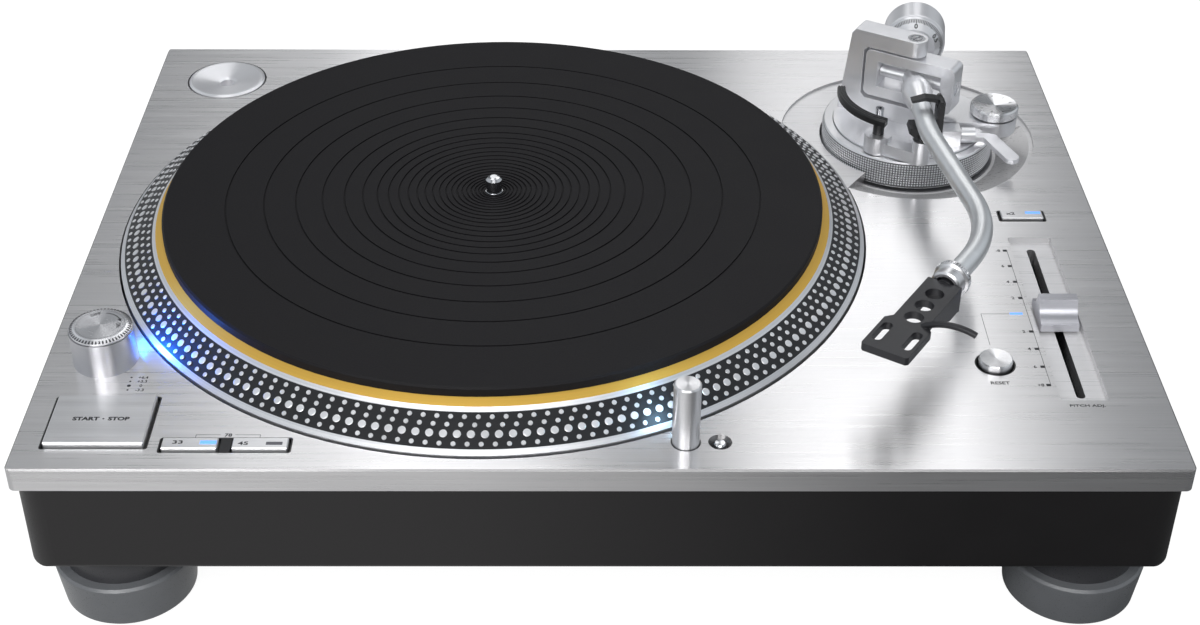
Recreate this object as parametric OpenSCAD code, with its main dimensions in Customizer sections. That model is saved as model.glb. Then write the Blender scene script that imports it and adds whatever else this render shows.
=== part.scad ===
// Direct-drive record turntable with an S-shaped tonearm.
// Frame: origin on the floor under the middle of the plinth, X right, Y back, Z up, millimetres.
// Heights called "rise" are measured from the top face of the top plate.

/* [Plinth] */
// Width of the plinth
plinth_w = 453; // [446:1:500]
// Depth of the plinth
plinth_d = 347; // [343:1:380]
// Thickness of the aluminium top plate
plate_t = 10.3; // [9:0.1:12]
// Chamfer along the upper edges of the top plate
plate_chamfer = 0.7; // [0.3:0.1:1.2]
// Height of the black base below the top plate
base_h = 40.2; // [37:0.1:60]
// Inset of the base behind the edge of the plate
base_inset = 0.5; // [0.2:0.1:2]
// Wall of the base
base_wall = 8; // [6:0.5:10]
// Floor of the base
base_floor = 5; // [4:0.5:6]
// Radius of the lower edges of the base
base_edge_r = 2; // [1:0.5:7]
// Corner radius of the base in plan
base_corner_r = 12; // [3:0.5:14]
// Corner radius of the plate and chassis in plan
corner_r = 3; // [1:0.5:6]
// Height of the cast chassis under the plate
chassis_h = 16; // [14:0.5:17]
// Floor of the platter well in the chassis
chassis_floor = 4; // [3:0.5:5]

/* [Feet] */
// Distance from a foot's axis to the side of the plinth
foot_from_side = 30.5; // [30:0.5:60]
// Distance from a foot's axis to the front or back of the plinth
foot_from_front = 34; // [30.5:0.5:60]
// Height of a foot
foot_h = 37.8; // [30:0.1:45]
// Radius of the foot cup at its upper rim
cup_r = 29; // [26:0.5:30]
// Height of the foot cup
cup_h = 21; // [15:0.5:25]
// Radius of the neck between cup and base
neck_r = 24.5; // [15:0.5:25]
// Radius of the foot's stud
stud_r = 4; // [3:0.5:6]

/* [Platter] */
// Distance from the spindle to the left side of the plinth
spindle_from_left = 179.2; // [178:0.1:190]
// Outer radius of the platter
platter_r = 166; // [160:0.5:166]
// Width of the sloped strobe band in plan
band_w = 13; // [8:0.5:16]
// Rise of the lower edge of the strobe band
band_low = 2.4; // [1.5:0.1:3]
// Rise of the upper edge of the strobe band
band_high = 10.7; // [8:0.1:12]
// Width of the bare ring between band and brass plate
ring_w = 1.4; // [0.8:0.1:3]
// Thickness of the brass plate
brass_t = 2.2; // [1.5:0.1:4]
// Width of the brass plate's sloped edge
brass_slope = 3.6; // [2:0.1:6]
// Thickness of the rubber mat
mat_t = 4.2; // [3:0.1:6]
// Radius of the record spindle
spindle_r = 3.6; // [3.55:0.01:3.62]
// Height of the record spindle above the mat
spindle_h = 7.2; // [6:0.1:14]
// Radius of the bearing shaft
shaft_r = 5; // [4.5:0.1:7]
// Gap between the platter and its well
well_gap = 1; // [1:0.5:3]
// Radius of the drive rotor
rotor_r = 58; // [45:1:70]

/* [Adapter] */
// Distance from the adapter's axis to the left side
adapter_from_left = 36.2; // [30:0.5:45]
// Distance from the adapter's axis to the back
adapter_from_back = 34.8; // [30:0.5:36]
// Radius of the large-hole record adapter
adapter_r = 19.1; // [18.5:0.1:19.5]
// Gap round the adapter in its pocket
adapter_gap = 0.9; // [0.4:0.1:0.95]
// Depth of the adapter's pocket
adapter_depth = 6.5; // [4:0.5:7]

/* [Power and start] */
// Distance from the power knob's axis to the left side
power_from_left = 24.5; // [20:0.5:30]
// Distance from the power knob's axis to the front
power_from_front = 70.8; // [66:0.1:90]
// Radius of the strobe housing under the knob
strobe_r = 13; // [10:0.5:14]
// Height of the strobe housing
strobe_h = 15.2; // [12:0.1:20]
// Thickness of the power knob
power_t = 1.8; // [1.4:0.1:3]
// Width of the start button
start_w = 39; // [30:0.5:42]
// Depth of the start button
start_d = 30.5; // [24:0.5:34]
// Distance from the start button's middle to the left side
start_from_left = 31.2; // [28:0.1:36]
// Distance from the start button's middle to the front
start_from_front = 29; // [24:0.1:31]
// Rise of the start button's top
start_rise = 2; // [1.6:0.1:4]
// Width of one speed button
speed_w = 21.5; // [16:0.5:24]
// Depth of the flat bar buttons
bar_d = 6.8; // [5:0.1:9]
// Width of the divider between the speed buttons
speed_divider = 4.2; // [2:0.1:6]
// Distance from the middle of the speed buttons to the left side
speed_from_left = 81.8; // [80:0.1:95]
// Distance from the middle of the speed buttons to the front
speed_from_front = 15; // [12:0.1:16]
// Rise of the bar buttons
bar_rise = 1.2; // [1:0.1:2]
// Side gap round a button in its tray
button_gap = 0.7; // [0.4:0.05:0.95]
// Wall of a button tray
tray_wall = 0.6; // [0.5:0.1:1.5]

/* [Stylus lamp] */
// Distance from the lamp to the spindle, along X
lamp_from_spindle = 79.9; // [70:0.1:90]
// Distance from the lamp to the front
lamp_from_front = 17.1; // [14:0.1:18]
// Radius of the pop-up lamp
lamp_r = 5.35; // [4:0.05:6]
// Height of the raised lamp
lamp_h = 28.4; // [20:0.1:29]
// Distance from the lamp to its push button
lamp_button_dx = 13.3; // [12:0.1:18]
// Radius of the lamp's push button
lamp_button_r = 2.4; // [1.5:0.1:3]

/* [Pitch control] */
// Distance from the fader's middle line to the right side
fader_from_right = 33.7; // [31:0.1:36]
// Distance from the fader's middle to the front
fader_from_front = 103.5; // [100:0.1:110]
// Length of the fader's recess
fader_l = 120.1; // [115:0.1:130]
// Width of the fader's recess
fader_w = 19.2; // [16.6:0.1:22]
// Depth of the fader's recess
fader_depth = 3; // [2:0.1:5]
// Width of the fader's slot
slot_w = 3.75; // [3:0.05:5]
// Width of the fader knob
fader_knob_w = 16; // [12:0.5:16]
// Length of the fader knob
fader_knob_l = 20; // [16:0.5:20]
// Rise of the fader knob's ridge
fader_knob_rise = 9; // [7:0.1:12]
// Radius of the reset button
reset_r = 6.95; // [5:0.05:9]
// Rise of the reset button
reset_rise = 3; // [2:0.1:5]
// Distance from the reset button to the right side
reset_from_right = 65.4; // [60:0.1:70]
// Distance from the reset button to the front
reset_from_front = 68.1; // [60:0.1:80]
// Width of the pitch range button
double_w = 19; // [15:0.5:20]
// Distance from the pitch range button to the back
double_from_back = 165.3; // [160:0.1:168]

/* [Arm base] */
// Distance from spindle to arm pivot along X
pivot_dx = 197.8; // [195:0.1:198]
// Distance from spindle to arm pivot along Y
pivot_dy = 84; // [80:0.1:86]
// Radius of the dish round the arm
dish_r = 61.2; // [56:0.1:64]
// Depth of the dish
dish_depth = 1.5; // [1:0.1:2.5]
// Depth of the finger scoop at the height ring
scoop_depth = 8; // [5:0.1:8.4]
// Outer radius of the height ring
ring_r = 41; // [39.5:0.1:43]
// Rise of the height ring's top
ring_rise = 7; // [5:0.1:7.4]
// Radius of the arm base plate
arm_plate_r = 36.2; // [35:0.1:37]
// Rise of the arm base plate's top
arm_plate_rise = 8; // [7.6:0.1:10]
// Radius of the arm base's guide tube
guide_r = 30; // [26:0.1:31]

/* [Tonearm] */
// Rise of the tube's middle line
arm_rise = 31; // [30.5:0.1:34]
// Radius of the arm tube
tube_r = 4.6; // [4:0.1:5]
// Direction of the tube where it leaves the pivot, degrees
root_dir = -90; // [-92:0.5:-88]
// Length of the first straight of the tube
straight_1 = 43; // [38:0.5:50]
// Radius of the first bend
bend_1_r = 116; // [80:1:160]
// Angle of the first bend, to the right side of the plinth
bend_1 = 10; // [6:0.5:14]
// Length of the middle straight
straight_2 = 51; // [40:0.5:60]
// Radius of the second bend
bend_2_r = 63.5; // [50:0.5:80]
// Angle of the second bend, towards the platter
bend_2 = 43; // [36:0.5:44]
// Length of the last straight, up to the headshell
straight_3 = 24.5; // [22:0.5:32]
// Direction of the counterweight's shaft, degrees
rear_dir = 81; // [78:0.5:90]
// Direction of the yoke's post from the pivot, degrees
yoke_dir = 149.5; // [145:0.5:152]
// Rise of the top of the yoke
yoke_rise = 52; // [51:0.1:56]
// Thickness of the yoke's arms and frame in plan
yoke_t = 11; // [8:0.5:11]
// Half length of the gimbal frame
frame_half = 22.6; // [20:0.1:23]
// Half height of the gimbal frame
frame_half_h = 12; // [11:0.1:12.4]
// Radius of the counterweight
weight_r = 15.1; // [14:0.1:17]
// Length of the counterweight
weight_l = 16.5; // [14:0.5:30]
// Distance from the pivot to the counterweight
weight_from_pivot = 37; // [35:0.5:42]
// Length of the headshell
shell_l = 56; // [50:0.5:58]
// Width of the headshell at its front
shell_w = 20; // [18:0.1:22]
// Thickness of the headshell's plate
shell_t = 3.4; // [2:0.1:4]
// Distance between the headshell's two slots
slot_pitch = 12.7; // [12.7:0.1:12.8]

/* [Fits] */
// Radial clearance of a running fit
run_gap = 0.05; // [0.02:0.01:0.1]
// Gap between faces that move past each other
move_gap = 0.3; // [0.2:0.05:0.5]
// Gap round a piece set into another
set_gap = 0.1; // [0.05:0.05:0.2]

/* [Hidden] */
$fn = 96;

// Cuts run past a face by this much
over = 1;
// Depth by which fused pieces of one node sink into each other
seat_in = 0.2;

// Heights
plate_z = foot_h + base_h + plate_t;
base_top = foot_h + base_h;
floor_top = foot_h + base_floor;
chassis_z = base_top - chassis_h;
well_floor = chassis_z + chassis_floor;

// Plan of the base
base_w = plinth_w - 2 * base_inset;
base_d = plinth_d - 2 * base_inset;
room_w = base_w - 2 * base_wall;
room_d = base_d - 2 * base_wall;
foot_x = plinth_w / 2 - foot_from_side;
foot_y = plinth_d / 2 - foot_from_front;
left = -plinth_w / 2;
right = plinth_w / 2;
front = -plinth_d / 2;
back = plinth_d / 2;

// Platter
spindle_x = left + spindle_from_left;
spindle_y = 0;
well_r = platter_r + well_gap;
lip_w = 1.8;
lip_low = 0.9;
rim_drop = 6;
rim_w = 24;
band_r = platter_r - lip_w;
ring_out_r = band_r - band_w;
brass_r = ring_out_r - ring_w;
disc_low = 3;
disc_high = band_high + 1.3;
brass_high = disc_high + brass_t;
mat_r = brass_r - brass_slope + 0.2;
mat_high = brass_high + mat_t;
bearing_end = 9;
boss_r = spindle_r + 0.2;
rotor_low = -4;
magnet_low = -9;
stator_top = magnet_low - 1;
stator_r = rotor_r - 4;

// Places of the controls
power_x = left + power_from_left;
power_y = front + power_from_front;
start_x = left + start_from_left;
start_y = front + start_from_front;
speed_x = left + speed_from_left;
speed_y = front + speed_from_front;
speed_dx = (speed_divider + speed_w) / 2 + button_gap;
lamp_x = spindle_x + lamp_from_spindle;
lamp_y = front + lamp_from_front;
fader_x = right - fader_from_right;
fader_y = front + fader_from_front;
reset_x = right - reset_from_right;
reset_y = front + reset_from_front;
double_x = fader_x;
double_y = back - double_from_back;
adapter_x = left + adapter_from_left;
adapter_y = back - adapter_from_back;
strobe_dir = atan2(spindle_y - power_y, spindle_x - power_x);

// Trays and buttons
tray_side = button_gap + tray_wall;
tray_depth = 7.5;
tray_corner = tray_wall + 0.6;
tray_floor = 1.6;
button_low = -3;
stem_low = -12;
start_stem_r = 4;
bar_stem_r = 1.8;
speed_tray_w = 2 * speed_w + speed_divider + 4 * button_gap + 2 * tray_wall;
bar_tray_d = bar_d + 2 * tray_side;
start_tray_w = start_w + 2 * tray_side;
start_tray_d = start_d + 2 * tray_side;
double_tray_w = double_w + 2 * tray_side;
reset_tray_r = reset_r + tray_side;

// Lamp
lamp_tail = 12;
lamp_hole_r = lamp_r + 0.5;
sleeve_wall = 2;
sleeve_low = floor_top - plate_z + 0.5;
lamp_lens_r = 2.2;
lamp_lens_rise = lamp_h - 5.5;

// Fader
fader_travel = 49;
blade_w = slot_w - 1.3;
blade_l = 8;
carriage_w = 6;
carriage_l = 12;
carriage_h = 5;
track_w = 16;
track_l = fader_l;
track_h = 13;
channel_w = carriage_w + 2 * move_gap;
channel_l = 2 * fader_travel + carriage_l + 2;
carriage_top = -plate_t - 2;

// Arm base
pivot_x = spindle_x + pivot_dx;
pivot_y = spindle_y + pivot_dy;
arm_hole_r = ring_r + 1.4;
flange_top = -scoop_depth + 0.4;
flange_h = 6;
ring_low = flange_top + 1.2;
sleeve_top = 2.6;
sleeve_r = guide_r + 3.5;
ring_lip_z = sleeve_top + move_gap;
arm_plate_low = ring_lip_z + move_gap;
guide_low = flange_top - flange_h;
bracket_rise = 15;
dial_r = 11.2;
dial_t = 5;
dial_reach = 40.3;
dial_dir = -8.9;
dial_pin_r = 2;
lift_r = 33.3;
lift_dir = -124;
lift_post_r = 6.4;
lift_post_rise = 16;
lift_piston_r = 2.6;
lift_bar_low = 20.8;
lift_bar_h = 3.6;
lift_bar_w = 4;
lift_from = -187;
lift_to = -118;
lift_screw_r = 22.5;
lift_screw_dir = -138;
rest_y = 40;
rest_boss_r = 4.2;
rest_boss_rise = 19.5;
cue_x = 21.5;
cue_y = -22;
cue_rise = 12;
cue_pin_r = 2;
cue_hub_r = 3.8;
cue_hub_l = 7;
cue_pin_l = 5;

// Gimbal
yoke_arm_h = 8;
yoke_low_h = 9;
yoke_heel = 8;
frame_low = arm_rise - frame_half_h;
frame_high = arm_rise + frame_half_h;
post_in = frame_half + 1.2;
post_out = post_in + 6.4;
post_foot = post_out + 5;
pivot_pin_r = 1.5;
pivot_pin_l = 4;
lock_nut_r = 4.1;
lock_nut_h = 1.6;
lock_screw_r = 2.3;
lock_gap = 0.5;
side_screw_r = 3.4;
window_half = 16;
window_half_h = 6.5;
axle_r = 3;
axle_pin_r = 1.2;
axle_pin_l = 3.6;
hub_l = 30;
hub_r = 7.2;
lift_screw_top = arm_rise - hub_r - 1.1;
stub_r = 5;
stub_end = weight_from_pivot + weight_l - 3;
press_l = 6;
collar_l = 9.5;
collar_r = 6.6;
plug_r = 3.6;
plug_l = 8;

// A rectangle with rounded corners, centred
module round_rect(w, d, r) {
    square([w - 2 * r, d], center = true);
    square([w, d - 2 * r], center = true);
    for (x = [-1, 1])
        for (y = [-1, 1])
            translate([x * (w / 2 - r), y * (d / 2 - r)]) circle(r);
}

// A slab with rounded corners in plan, standing on z = 0
module slab(w, d, h, r) {
    linear_extrude(h) round_rect(w, d, r);
}

// A bar of square section turned on its edge, to cut a chamfer of size c along X
module chamfer_bar(l, c) {
    rotate([45, 0, 0]) cube([l, c * sqrt(2), c * sqrt(2)], center = true);
}

// A slab whose four upper edges are chamfered
module chamfered_slab(w, d, h, r, c) {
    difference() {
        slab(w, d, h, r);
        for (s = [-1, 1]) {
            translate([0, s * d / 2, h]) chamfer_bar(w + over, c);
            translate([s * w / 2, 0, h]) rotate([0, 0, 90]) chamfer_bar(d + over, c);
        }
    }
}

// The cut that rounds an edge along X by radius r
module edge_round(l, r) {
    difference() {
        translate([0, r / 2 - over / 2, r / 2 - over / 2])
            cube([l, r + over, r + over], center = true);
        translate([0, r, r]) rotate([0, 90, 0]) cylinder(h = l + over, r = r, center = true);
    }
}

// Places things by a point in plan, with z = 0 at the plate's top face
module on_plate(x, y) {
    translate([x, y, plate_z]) children();
}

module at_pivot() {
    on_plate(pivot_x, pivot_y) children();
}

// The yoke's own frame: X along the post, origin on the vertical pivot
module at_yoke() {
    at_pivot() rotate([0, 0, yoke_dir]) children();
}

// A point at radius r and direction a from the arm's pivot
module polar(r, a) {
    at_pivot() translate([r * cos(a), r * sin(a), 0]) children();
}

// A profile in X and Z, extruded along Y by t about the middle
module upright(t) {
    rotate([90, 0, 0]) linear_extrude(t, center = true) children();
}

// A body of revolution about the X axis, from a profile of (radius, distance)
module turned_along_x() {
    rotate([0, 90, 0]) rotate_extrude() children();
}

// Cuts through plate and chassis

// The openings of the trays, each grown by g on every side
module tray_opening(w, d, g) {
    translate([0, 0, -2 * plate_z]) slab(w + 2 * g, d + 2 * g, 4 * plate_z, tray_corner + g);
}

module tray_openings(g) {
    on_plate(start_x, start_y) tray_opening(start_tray_w, start_tray_d, g);
    on_plate(speed_x, speed_y) tray_opening(speed_tray_w, bar_tray_d, g);
    on_plate(double_x, double_y) tray_opening(double_tray_w, bar_tray_d, g);
    on_plate(reset_x, reset_y) cylinder(h = 4 * plate_z, r = reset_tray_r + g, center = true);
}

module fader_recess() {
    on_plate(fader_x, fader_y) {
        translate([0, 0, -fader_depth]) slab(fader_w, fader_l, fader_depth + over, 1);
        translate([0, 0, -plate_t - over])
            slab(slot_w, 2 * fader_travel + blade_l + 3.5, plate_t + over, slot_w / 2 - 0.01);
    }
}

module arm_dish() {
    at_pivot() {
        translate([0, 0, -dish_depth]) cylinder(h = dish_depth + over, r = dish_r);
        cylinder(h = 4 * plate_t, r = arm_hole_r, center = true);
        rotate([0, 0, -125])
            rotate_extrude(angle = 135)
                polygon([
                    [arm_hole_r - over, -scoop_depth],
                    [arm_hole_r + 1.5, -scoop_depth],
                    [dish_r - 2, -dish_depth + 0.01],
                    [arm_hole_r - over, -dish_depth + 0.01]
                ]);
    }
}

module lamp_button_hole() {
    on_plate(lamp_x + lamp_button_dx, lamp_y) {
        translate([0, 0, -3]) cylinder(h = 3.01, r1 = lamp_button_r + move_gap, r2 = 4.65);
        cylinder(h = 4 * plate_z, r = lamp_button_r + move_gap, center = true);
    }
}

// Fixed pieces

module top_plate() {
    color("silver")
        difference() {
            translate([0, 0, base_top])
                chamfered_slab(plinth_w, plinth_d, plate_t, corner_r, plate_chamfer);
            on_plate(spindle_x, spindle_y) cylinder(h = 4 * plate_t, r = well_r, center = true);
            on_plate(adapter_x, adapter_y)
                translate([0, 0, -adapter_depth])
                    cylinder(h = plate_t, r = adapter_r + adapter_gap);
            on_plate(power_x, power_y) cylinder(h = 4 * plate_t, r = 5, center = true);
            on_plate(lamp_x, lamp_y) cylinder(h = 4 * plate_t, r = lamp_hole_r, center = true);
            tray_openings(set_gap);
            lamp_button_hole();
            fader_recess();
            arm_dish();
        }
}

module chassis() {
    color("dimgray")
        difference() {
            translate([0, 0, chassis_z])
                slab(room_w - 2 * set_gap, room_d - 2 * set_gap, chassis_h, corner_r);
            translate([spindle_x, spindle_y, well_floor]) cylinder(h = chassis_h, r = well_r);
            translate([spindle_x, spindle_y, chassis_z - over])
                cylinder(h = chassis_h, r = bearing_r + set_gap);
            on_plate(power_x, power_y) cylinder(h = 4 * plate_z, r = 5, center = true);
            on_plate(lamp_x, lamp_y)
                cylinder(h = 4 * plate_z, r = lamp_r + run_gap + sleeve_wall + set_gap, center = true);
            on_plate(lamp_x + lamp_button_dx, lamp_y)
                cylinder(h = 4 * plate_z, r = lamp_button_r + move_gap, center = true);
            tray_openings(1);
            on_plate(fader_x, fader_y)
                cube([track_w + 2 * set_gap, track_l + 2 * set_gap, 4 * plate_z], center = true);
            at_pivot() cylinder(h = 4 * plate_z, r = arm_hole_r + set_gap, center = true);
            for (x = [jack_x, inlet_x])
                translate([x, back, chassis_z])
                    cube([recess_w + 2 * recess_wall + 1, 2 * recess_reach + 1, 4 * chassis_h],
                        center = true);
        }
}

// Rear recesses, one for the signal jacks and one for the mains inlet
recess_w = 48;
recess_h = 22;
recess_depth = 20;
recess_wall = 4;
recess_lift = 8;
recess_low = foot_h + recess_lift;
recess_reach = recess_depth + recess_wall + base_inset;
jack_from_right = 100;
inlet_from_left = 46;
jack_x = right - jack_from_right;
inlet_x = left + inlet_from_left;
panel_t = 2;
panel_y = back - base_inset - recess_depth;
recess_mid = recess_low + recess_h / 2;

module base_shell() {
    color("black")
        difference() {
            union() {
                difference() {
                    translate([0, 0, foot_h]) slab(base_w, base_d, base_h, base_corner_r);
                    translate([0, 0, floor_top]) slab(room_w, room_d, base_h, corner_r);
                }
                for (x = [jack_x, inlet_x])
                    translate([x - recess_w / 2 - recess_wall, back - recess_reach, floor_top - over])
                        cube([
                            recess_w + 2 * recess_wall,
                            recess_reach - base_inset - base_wall / 2,
                            recess_low + recess_h + recess_wall - floor_top + over
                        ]);
            }
            for (x = [jack_x, inlet_x])
                translate([x - recess_w / 2, panel_y, recess_low])
                    cube([recess_w, recess_depth + base_inset + over, recess_h]);
            for (x = [jack_x, inlet_x])
                translate([x, panel_y, recess_mid])
                    cube([recess_w - 8, 4 * recess_wall, recess_h - 4], center = true);
            for (s = [-1, 1]) {
                translate([0, s * base_d / 2, foot_h])
                    rotate([0, 0, s < 0 ? 0 : 180]) edge_round(base_w + over, base_edge_r);
                translate([s * base_w / 2, 0, foot_h])
                    rotate([0, 0, s < 0 ? -90 : 90]) edge_round(base_d + over, base_edge_r);
            }
            for (x = [-1, 1])
                for (y = [-1, 1])
                    translate([x * foot_x, y * foot_y, foot_h - over])
                        cylinder(h = base_floor + 2 * over, r = stud_r + run_gap);
            for (i = [0 : screw_count - 1])
                translate([screw_x(i), screw_y(i), foot_h - over])
                    cylinder(h = screw_sink + over, r = screw_head_r + set_gap);
        }
}

// Screws under the base, in two rows beside the feet
screw_count = 6;
screw_head_r = 4;
screw_sink = 2.6;
screw_from_foot = [60, 5];
function screw_x(i) = (floor(i / 2) - 1) * (foot_x - screw_from_foot[0]);
function screw_y(i) = (i % 2 == 0 ? -1 : 1) * (foot_y - screw_from_foot[1]);

module base_screws() {
    color("gray")
        for (i = [0 : screw_count - 1])
            translate([screw_x(i), screw_y(i), foot_h])
                difference() {
                    translate([0, 0, 0.4]) cylinder(h = screw_sink - 0.4, r = screw_head_r);
                    for (a = [0, 90])
                        rotate([0, 0, a]) cube([4.4, 0.9, 3], center = true);
                }
}

// A tray with a guide hole for each button stem
module tray_box(w, d, stems, stem_r) {
    difference() {
        translate([0, 0, -tray_depth]) slab(w, d, tray_depth - 0.2, tray_corner);
        translate([0, 0, -tray_depth + tray_floor])
            slab(w - 2 * tray_wall, d - 2 * tray_wall, tray_depth, tray_corner - tray_wall);
        for (x = stems)
            translate([x, 0, -tray_depth - over]) cylinder(h = tray_depth, r = stem_r + move_gap);
    }
}

module start_tray() {
    color("black")
        on_plate(start_x, start_y) tray_box(start_tray_w, start_tray_d, [0], start_stem_r);
}

module speed_tray() {
    color("black")
        on_plate(speed_x, speed_y) {
            tray_box(speed_tray_w, bar_tray_d, [-speed_dx, speed_dx], bar_stem_r);
            translate([0, 0, -tray_depth / 2])
                cube([speed_divider, bar_tray_d - tray_wall, tray_depth - 2 * move_gap], center = true);
        }
}

module double_tray() {
    color("black")
        on_plate(double_x, double_y) tray_box(double_tray_w, bar_tray_d, [0], bar_stem_r);
}

module reset_cup() {
    color("black")
        on_plate(reset_x, reset_y)
            difference() {
                translate([0, 0, -tray_depth]) cylinder(h = tray_depth - 0.2, r = reset_tray_r);
                translate([0, 0, -tray_depth + tray_floor])
                    cylinder(h = tray_depth, r = reset_tray_r - tray_wall);
                translate([0, 0, -tray_depth - over])
                    cylinder(h = tray_depth, r = bar_stem_r + move_gap);
            }
}

// Strobe lamp housing, with a window towards the platter
window_w = 10;
window_low = 1.5;
window_h = 10;
window_depth = 4;

module strobe_window(g) {
    rotate([0, 0, strobe_dir])
        translate([strobe_r - window_depth - g, -window_w / 2 - g, window_low - g])
            cube([window_depth + 2 * g, window_w + 2 * g, window_h + 2 * g]);
}

module strobe_housing() {
    color("silver")
        on_plate(power_x, power_y)
            difference() {
                cylinder(h = strobe_h, r = strobe_r);
                translate([0, 0, -over])
                    cylinder(h = strobe_h + 2 * over, r = power_stem_r + run_gap);
                strobe_window(set_gap);
            }
}

module strobe_lens() {
    color("lightcyan")
        on_plate(power_x, power_y)
            intersection() {
                strobe_window(0);
                cylinder(h = strobe_h, r = strobe_r - 0.4);
            }
}

module lamp_sleeve() {
    color("black")
        on_plate(lamp_x, lamp_y)
            difference() {
                translate([0, 0, sleeve_low])
                    cylinder(h = -plate_t - sleeve_low, r = lamp_r + run_gap + sleeve_wall);
                translate([0, 0, sleeve_low + 1]) cylinder(h = -sleeve_low, r = lamp_r + run_gap);
            }
}

module fader_track() {
    color("black")
        on_plate(fader_x, fader_y)
            difference() {
                translate([0, 0, -plate_t - track_h]) slab(track_w, track_l, track_h, 1);
                translate([0, 0, carriage_top - carriage_h - move_gap])
                    slab(channel_w, channel_l, carriage_h + 2 * move_gap, 0.5);
                translate([0, 0, carriage_top]) slab(slot_w, channel_l - 4, plate_t, 0.5);
            }
}

bearing_r = 13;
bearing_flange_r = 19;
bearing_flange_t = 3;

module bearing_housing() {
    color("gray")
        translate([spindle_x, spindle_y, 0])
            difference() {
                union() {
                    translate([0, 0, floor_top + bearing_end - 4])
                        cylinder(h = plate_z + stator_top - floor_top - bearing_end + 4, r = bearing_r);
                    translate([0, 0, well_floor])
                        cylinder(h = bearing_flange_t, r = bearing_flange_r);
                }
                translate([0, 0, floor_top + bearing_end - move_gap])
                    cylinder(h = plate_z, r = shaft_r + run_gap);
            }
}

// Coreless stator: a carrier disc with wedge coils round the bearing
coil_count = 9;
coil_r = 11;

module motor_stator() {
    coil_mid = (stator_r + bearing_flange_r) / 2;
    stator_h = plate_z + stator_top - well_floor;
    color("peru")
        translate([spindle_x, spindle_y, well_floor]) {
            difference() {
                cylinder(h = stator_h - 4, r = stator_r);
                translate([0, 0, -over]) cylinder(h = stator_h, r = bearing_flange_r + set_gap);
            }
            for (i = [0 : coil_count - 1])
                rotate([0, 0, i * 360 / coil_count])
                    translate([coil_mid, 0, stator_h - 4 - 0.5])
                        difference() {
                            cylinder(h = 4.5, r = coil_r);
                            translate([0, 0, 1]) cylinder(h = 4.5, r = coil_r / 2.5);
                        }
        }
}

// Electronics on the base's floor
board_t = 1.6;
board_post_h = 3;
board_post_r = 2.5;
board_post_in = 5;
board_side_gap = 6;
control_w = 130;
control_d = 60;
control_shift = 60;
chip_w = 16;
chip_pitch = 30;
chip_h = 3;
supply_w = 60;
supply_d = 90;
supply_shift = 16;
coil_box = [26, 30, 10.8];
cap_r = 8;
cap_h = 10.8;
cap_at = [30, 64];

// A circuit board on four posts; what stands on it is placed from its top face
module board(w, d) {
    translate([0, 0, board_post_h]) cube([w, d, board_t]);
    for (x = [board_post_in, w - board_post_in])
        for (y = [board_post_in, d - board_post_in])
            translate([x, y, 0]) cylinder(h = board_post_h + seat_in, r = board_post_r);
    translate([0, 0, board_post_h + board_t - seat_in]) children();
}

module control_board() {
    color("darkgreen")
        translate([spindle_x - control_shift, front + base_inset + base_wall + board_side_gap, floor_top])
            board(control_w, control_d)
                for (i = [-1 : 1])
                    translate([control_w / 2 + i * chip_pitch, control_d / 2, (chip_h + seat_in) / 2])
                        cube([chip_w, chip_w, chip_h + seat_in], center = true);
}

module power_supply() {
    color("darkslategray")
        translate([inlet_x - supply_shift, back - recess_reach - board_side_gap - supply_d, floor_top])
            board(supply_w, supply_d) {
                translate([2 * board_post_in, 2 * board_post_in, 0])
                    cube([coil_box[0], coil_box[1], coil_box[2] + seat_in]);
                translate([cap_at[0], cap_at[1], 0]) cylinder(h = cap_h + seat_in, r = cap_r);
            }
}

// Flange that carries the arm base: a seat in the plate and an inner guide sleeve
module arm_flange() {
    color("silver")
        at_pivot()
            difference() {
                union() {
                    translate([0, 0, flange_top - flange_h])
                        cylinder(h = flange_h, r = arm_hole_r - set_gap);
                    translate([0, 0, flange_top - flange_h])
                        cylinder(h = sleeve_top - flange_top + flange_h, r = sleeve_r);
                }
                translate([0, 0, flange_top - flange_h - over])
                    cylinder(h = 4 * plate_t, r = guide_r + run_gap);
            }
}

module terminal_panel() {
    color("dimgray")
        difference() {
            translate([jack_x - recess_w / 2 + set_gap, panel_y, recess_low + set_gap])
                cube([recess_w - 2 * set_gap, panel_t, recess_h - 2 * set_gap]);
            for (s = [-1, 1])
                translate([jack_x + s * jack_dx - jack_shift, panel_y - over, recess_mid])
                    rotate([-90, 0, 0]) cylinder(h = panel_t + 2 * over, r = jack_r + set_gap);
            translate([jack_x + post_dx, panel_y - over, recess_mid])
                rotate([-90, 0, 0]) cylinder(h = panel_t + 2 * over, r = 2 + set_gap);
        }
}

jack_dx = 8;
jack_shift = 7;
jack_r = 4.15;
jack_l = 10;
post_dx = 16;

module phono_jacks() {
    color("gold")
        for (s = [-1, 1])
            translate([jack_x + s * jack_dx - jack_shift, panel_y - 2, recess_mid])
                rotate([-90, 0, 0])
                    difference() {
                        union() {
                            cylinder(h = jack_l + 4, r = jack_r);
                            translate([0, 0, panel_t + 2]) cylinder(h = 1.5, r = jack_r + 1.6);
                        }
                        translate([0, 0, jack_l - 4])
                            difference() {
                                cylinder(h = jack_l, r = jack_r - 0.6);
                                translate([0, 0, -over]) cylinder(h = jack_l, r = 2.6);
                            }
                        translate([0, 0, jack_l - 4]) cylinder(h = jack_l, r = 1.6);
                    }
}

module ground_post() {
    color("silver")
        translate([jack_x + post_dx, panel_y - 2, recess_mid])
            rotate([-90, 0, 0]) {
                cylinder(h = 14, r = 2);
                translate([0, 0, panel_t + 2.2]) cylinder(h = 8, r = 4.2);
            }
}

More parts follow.
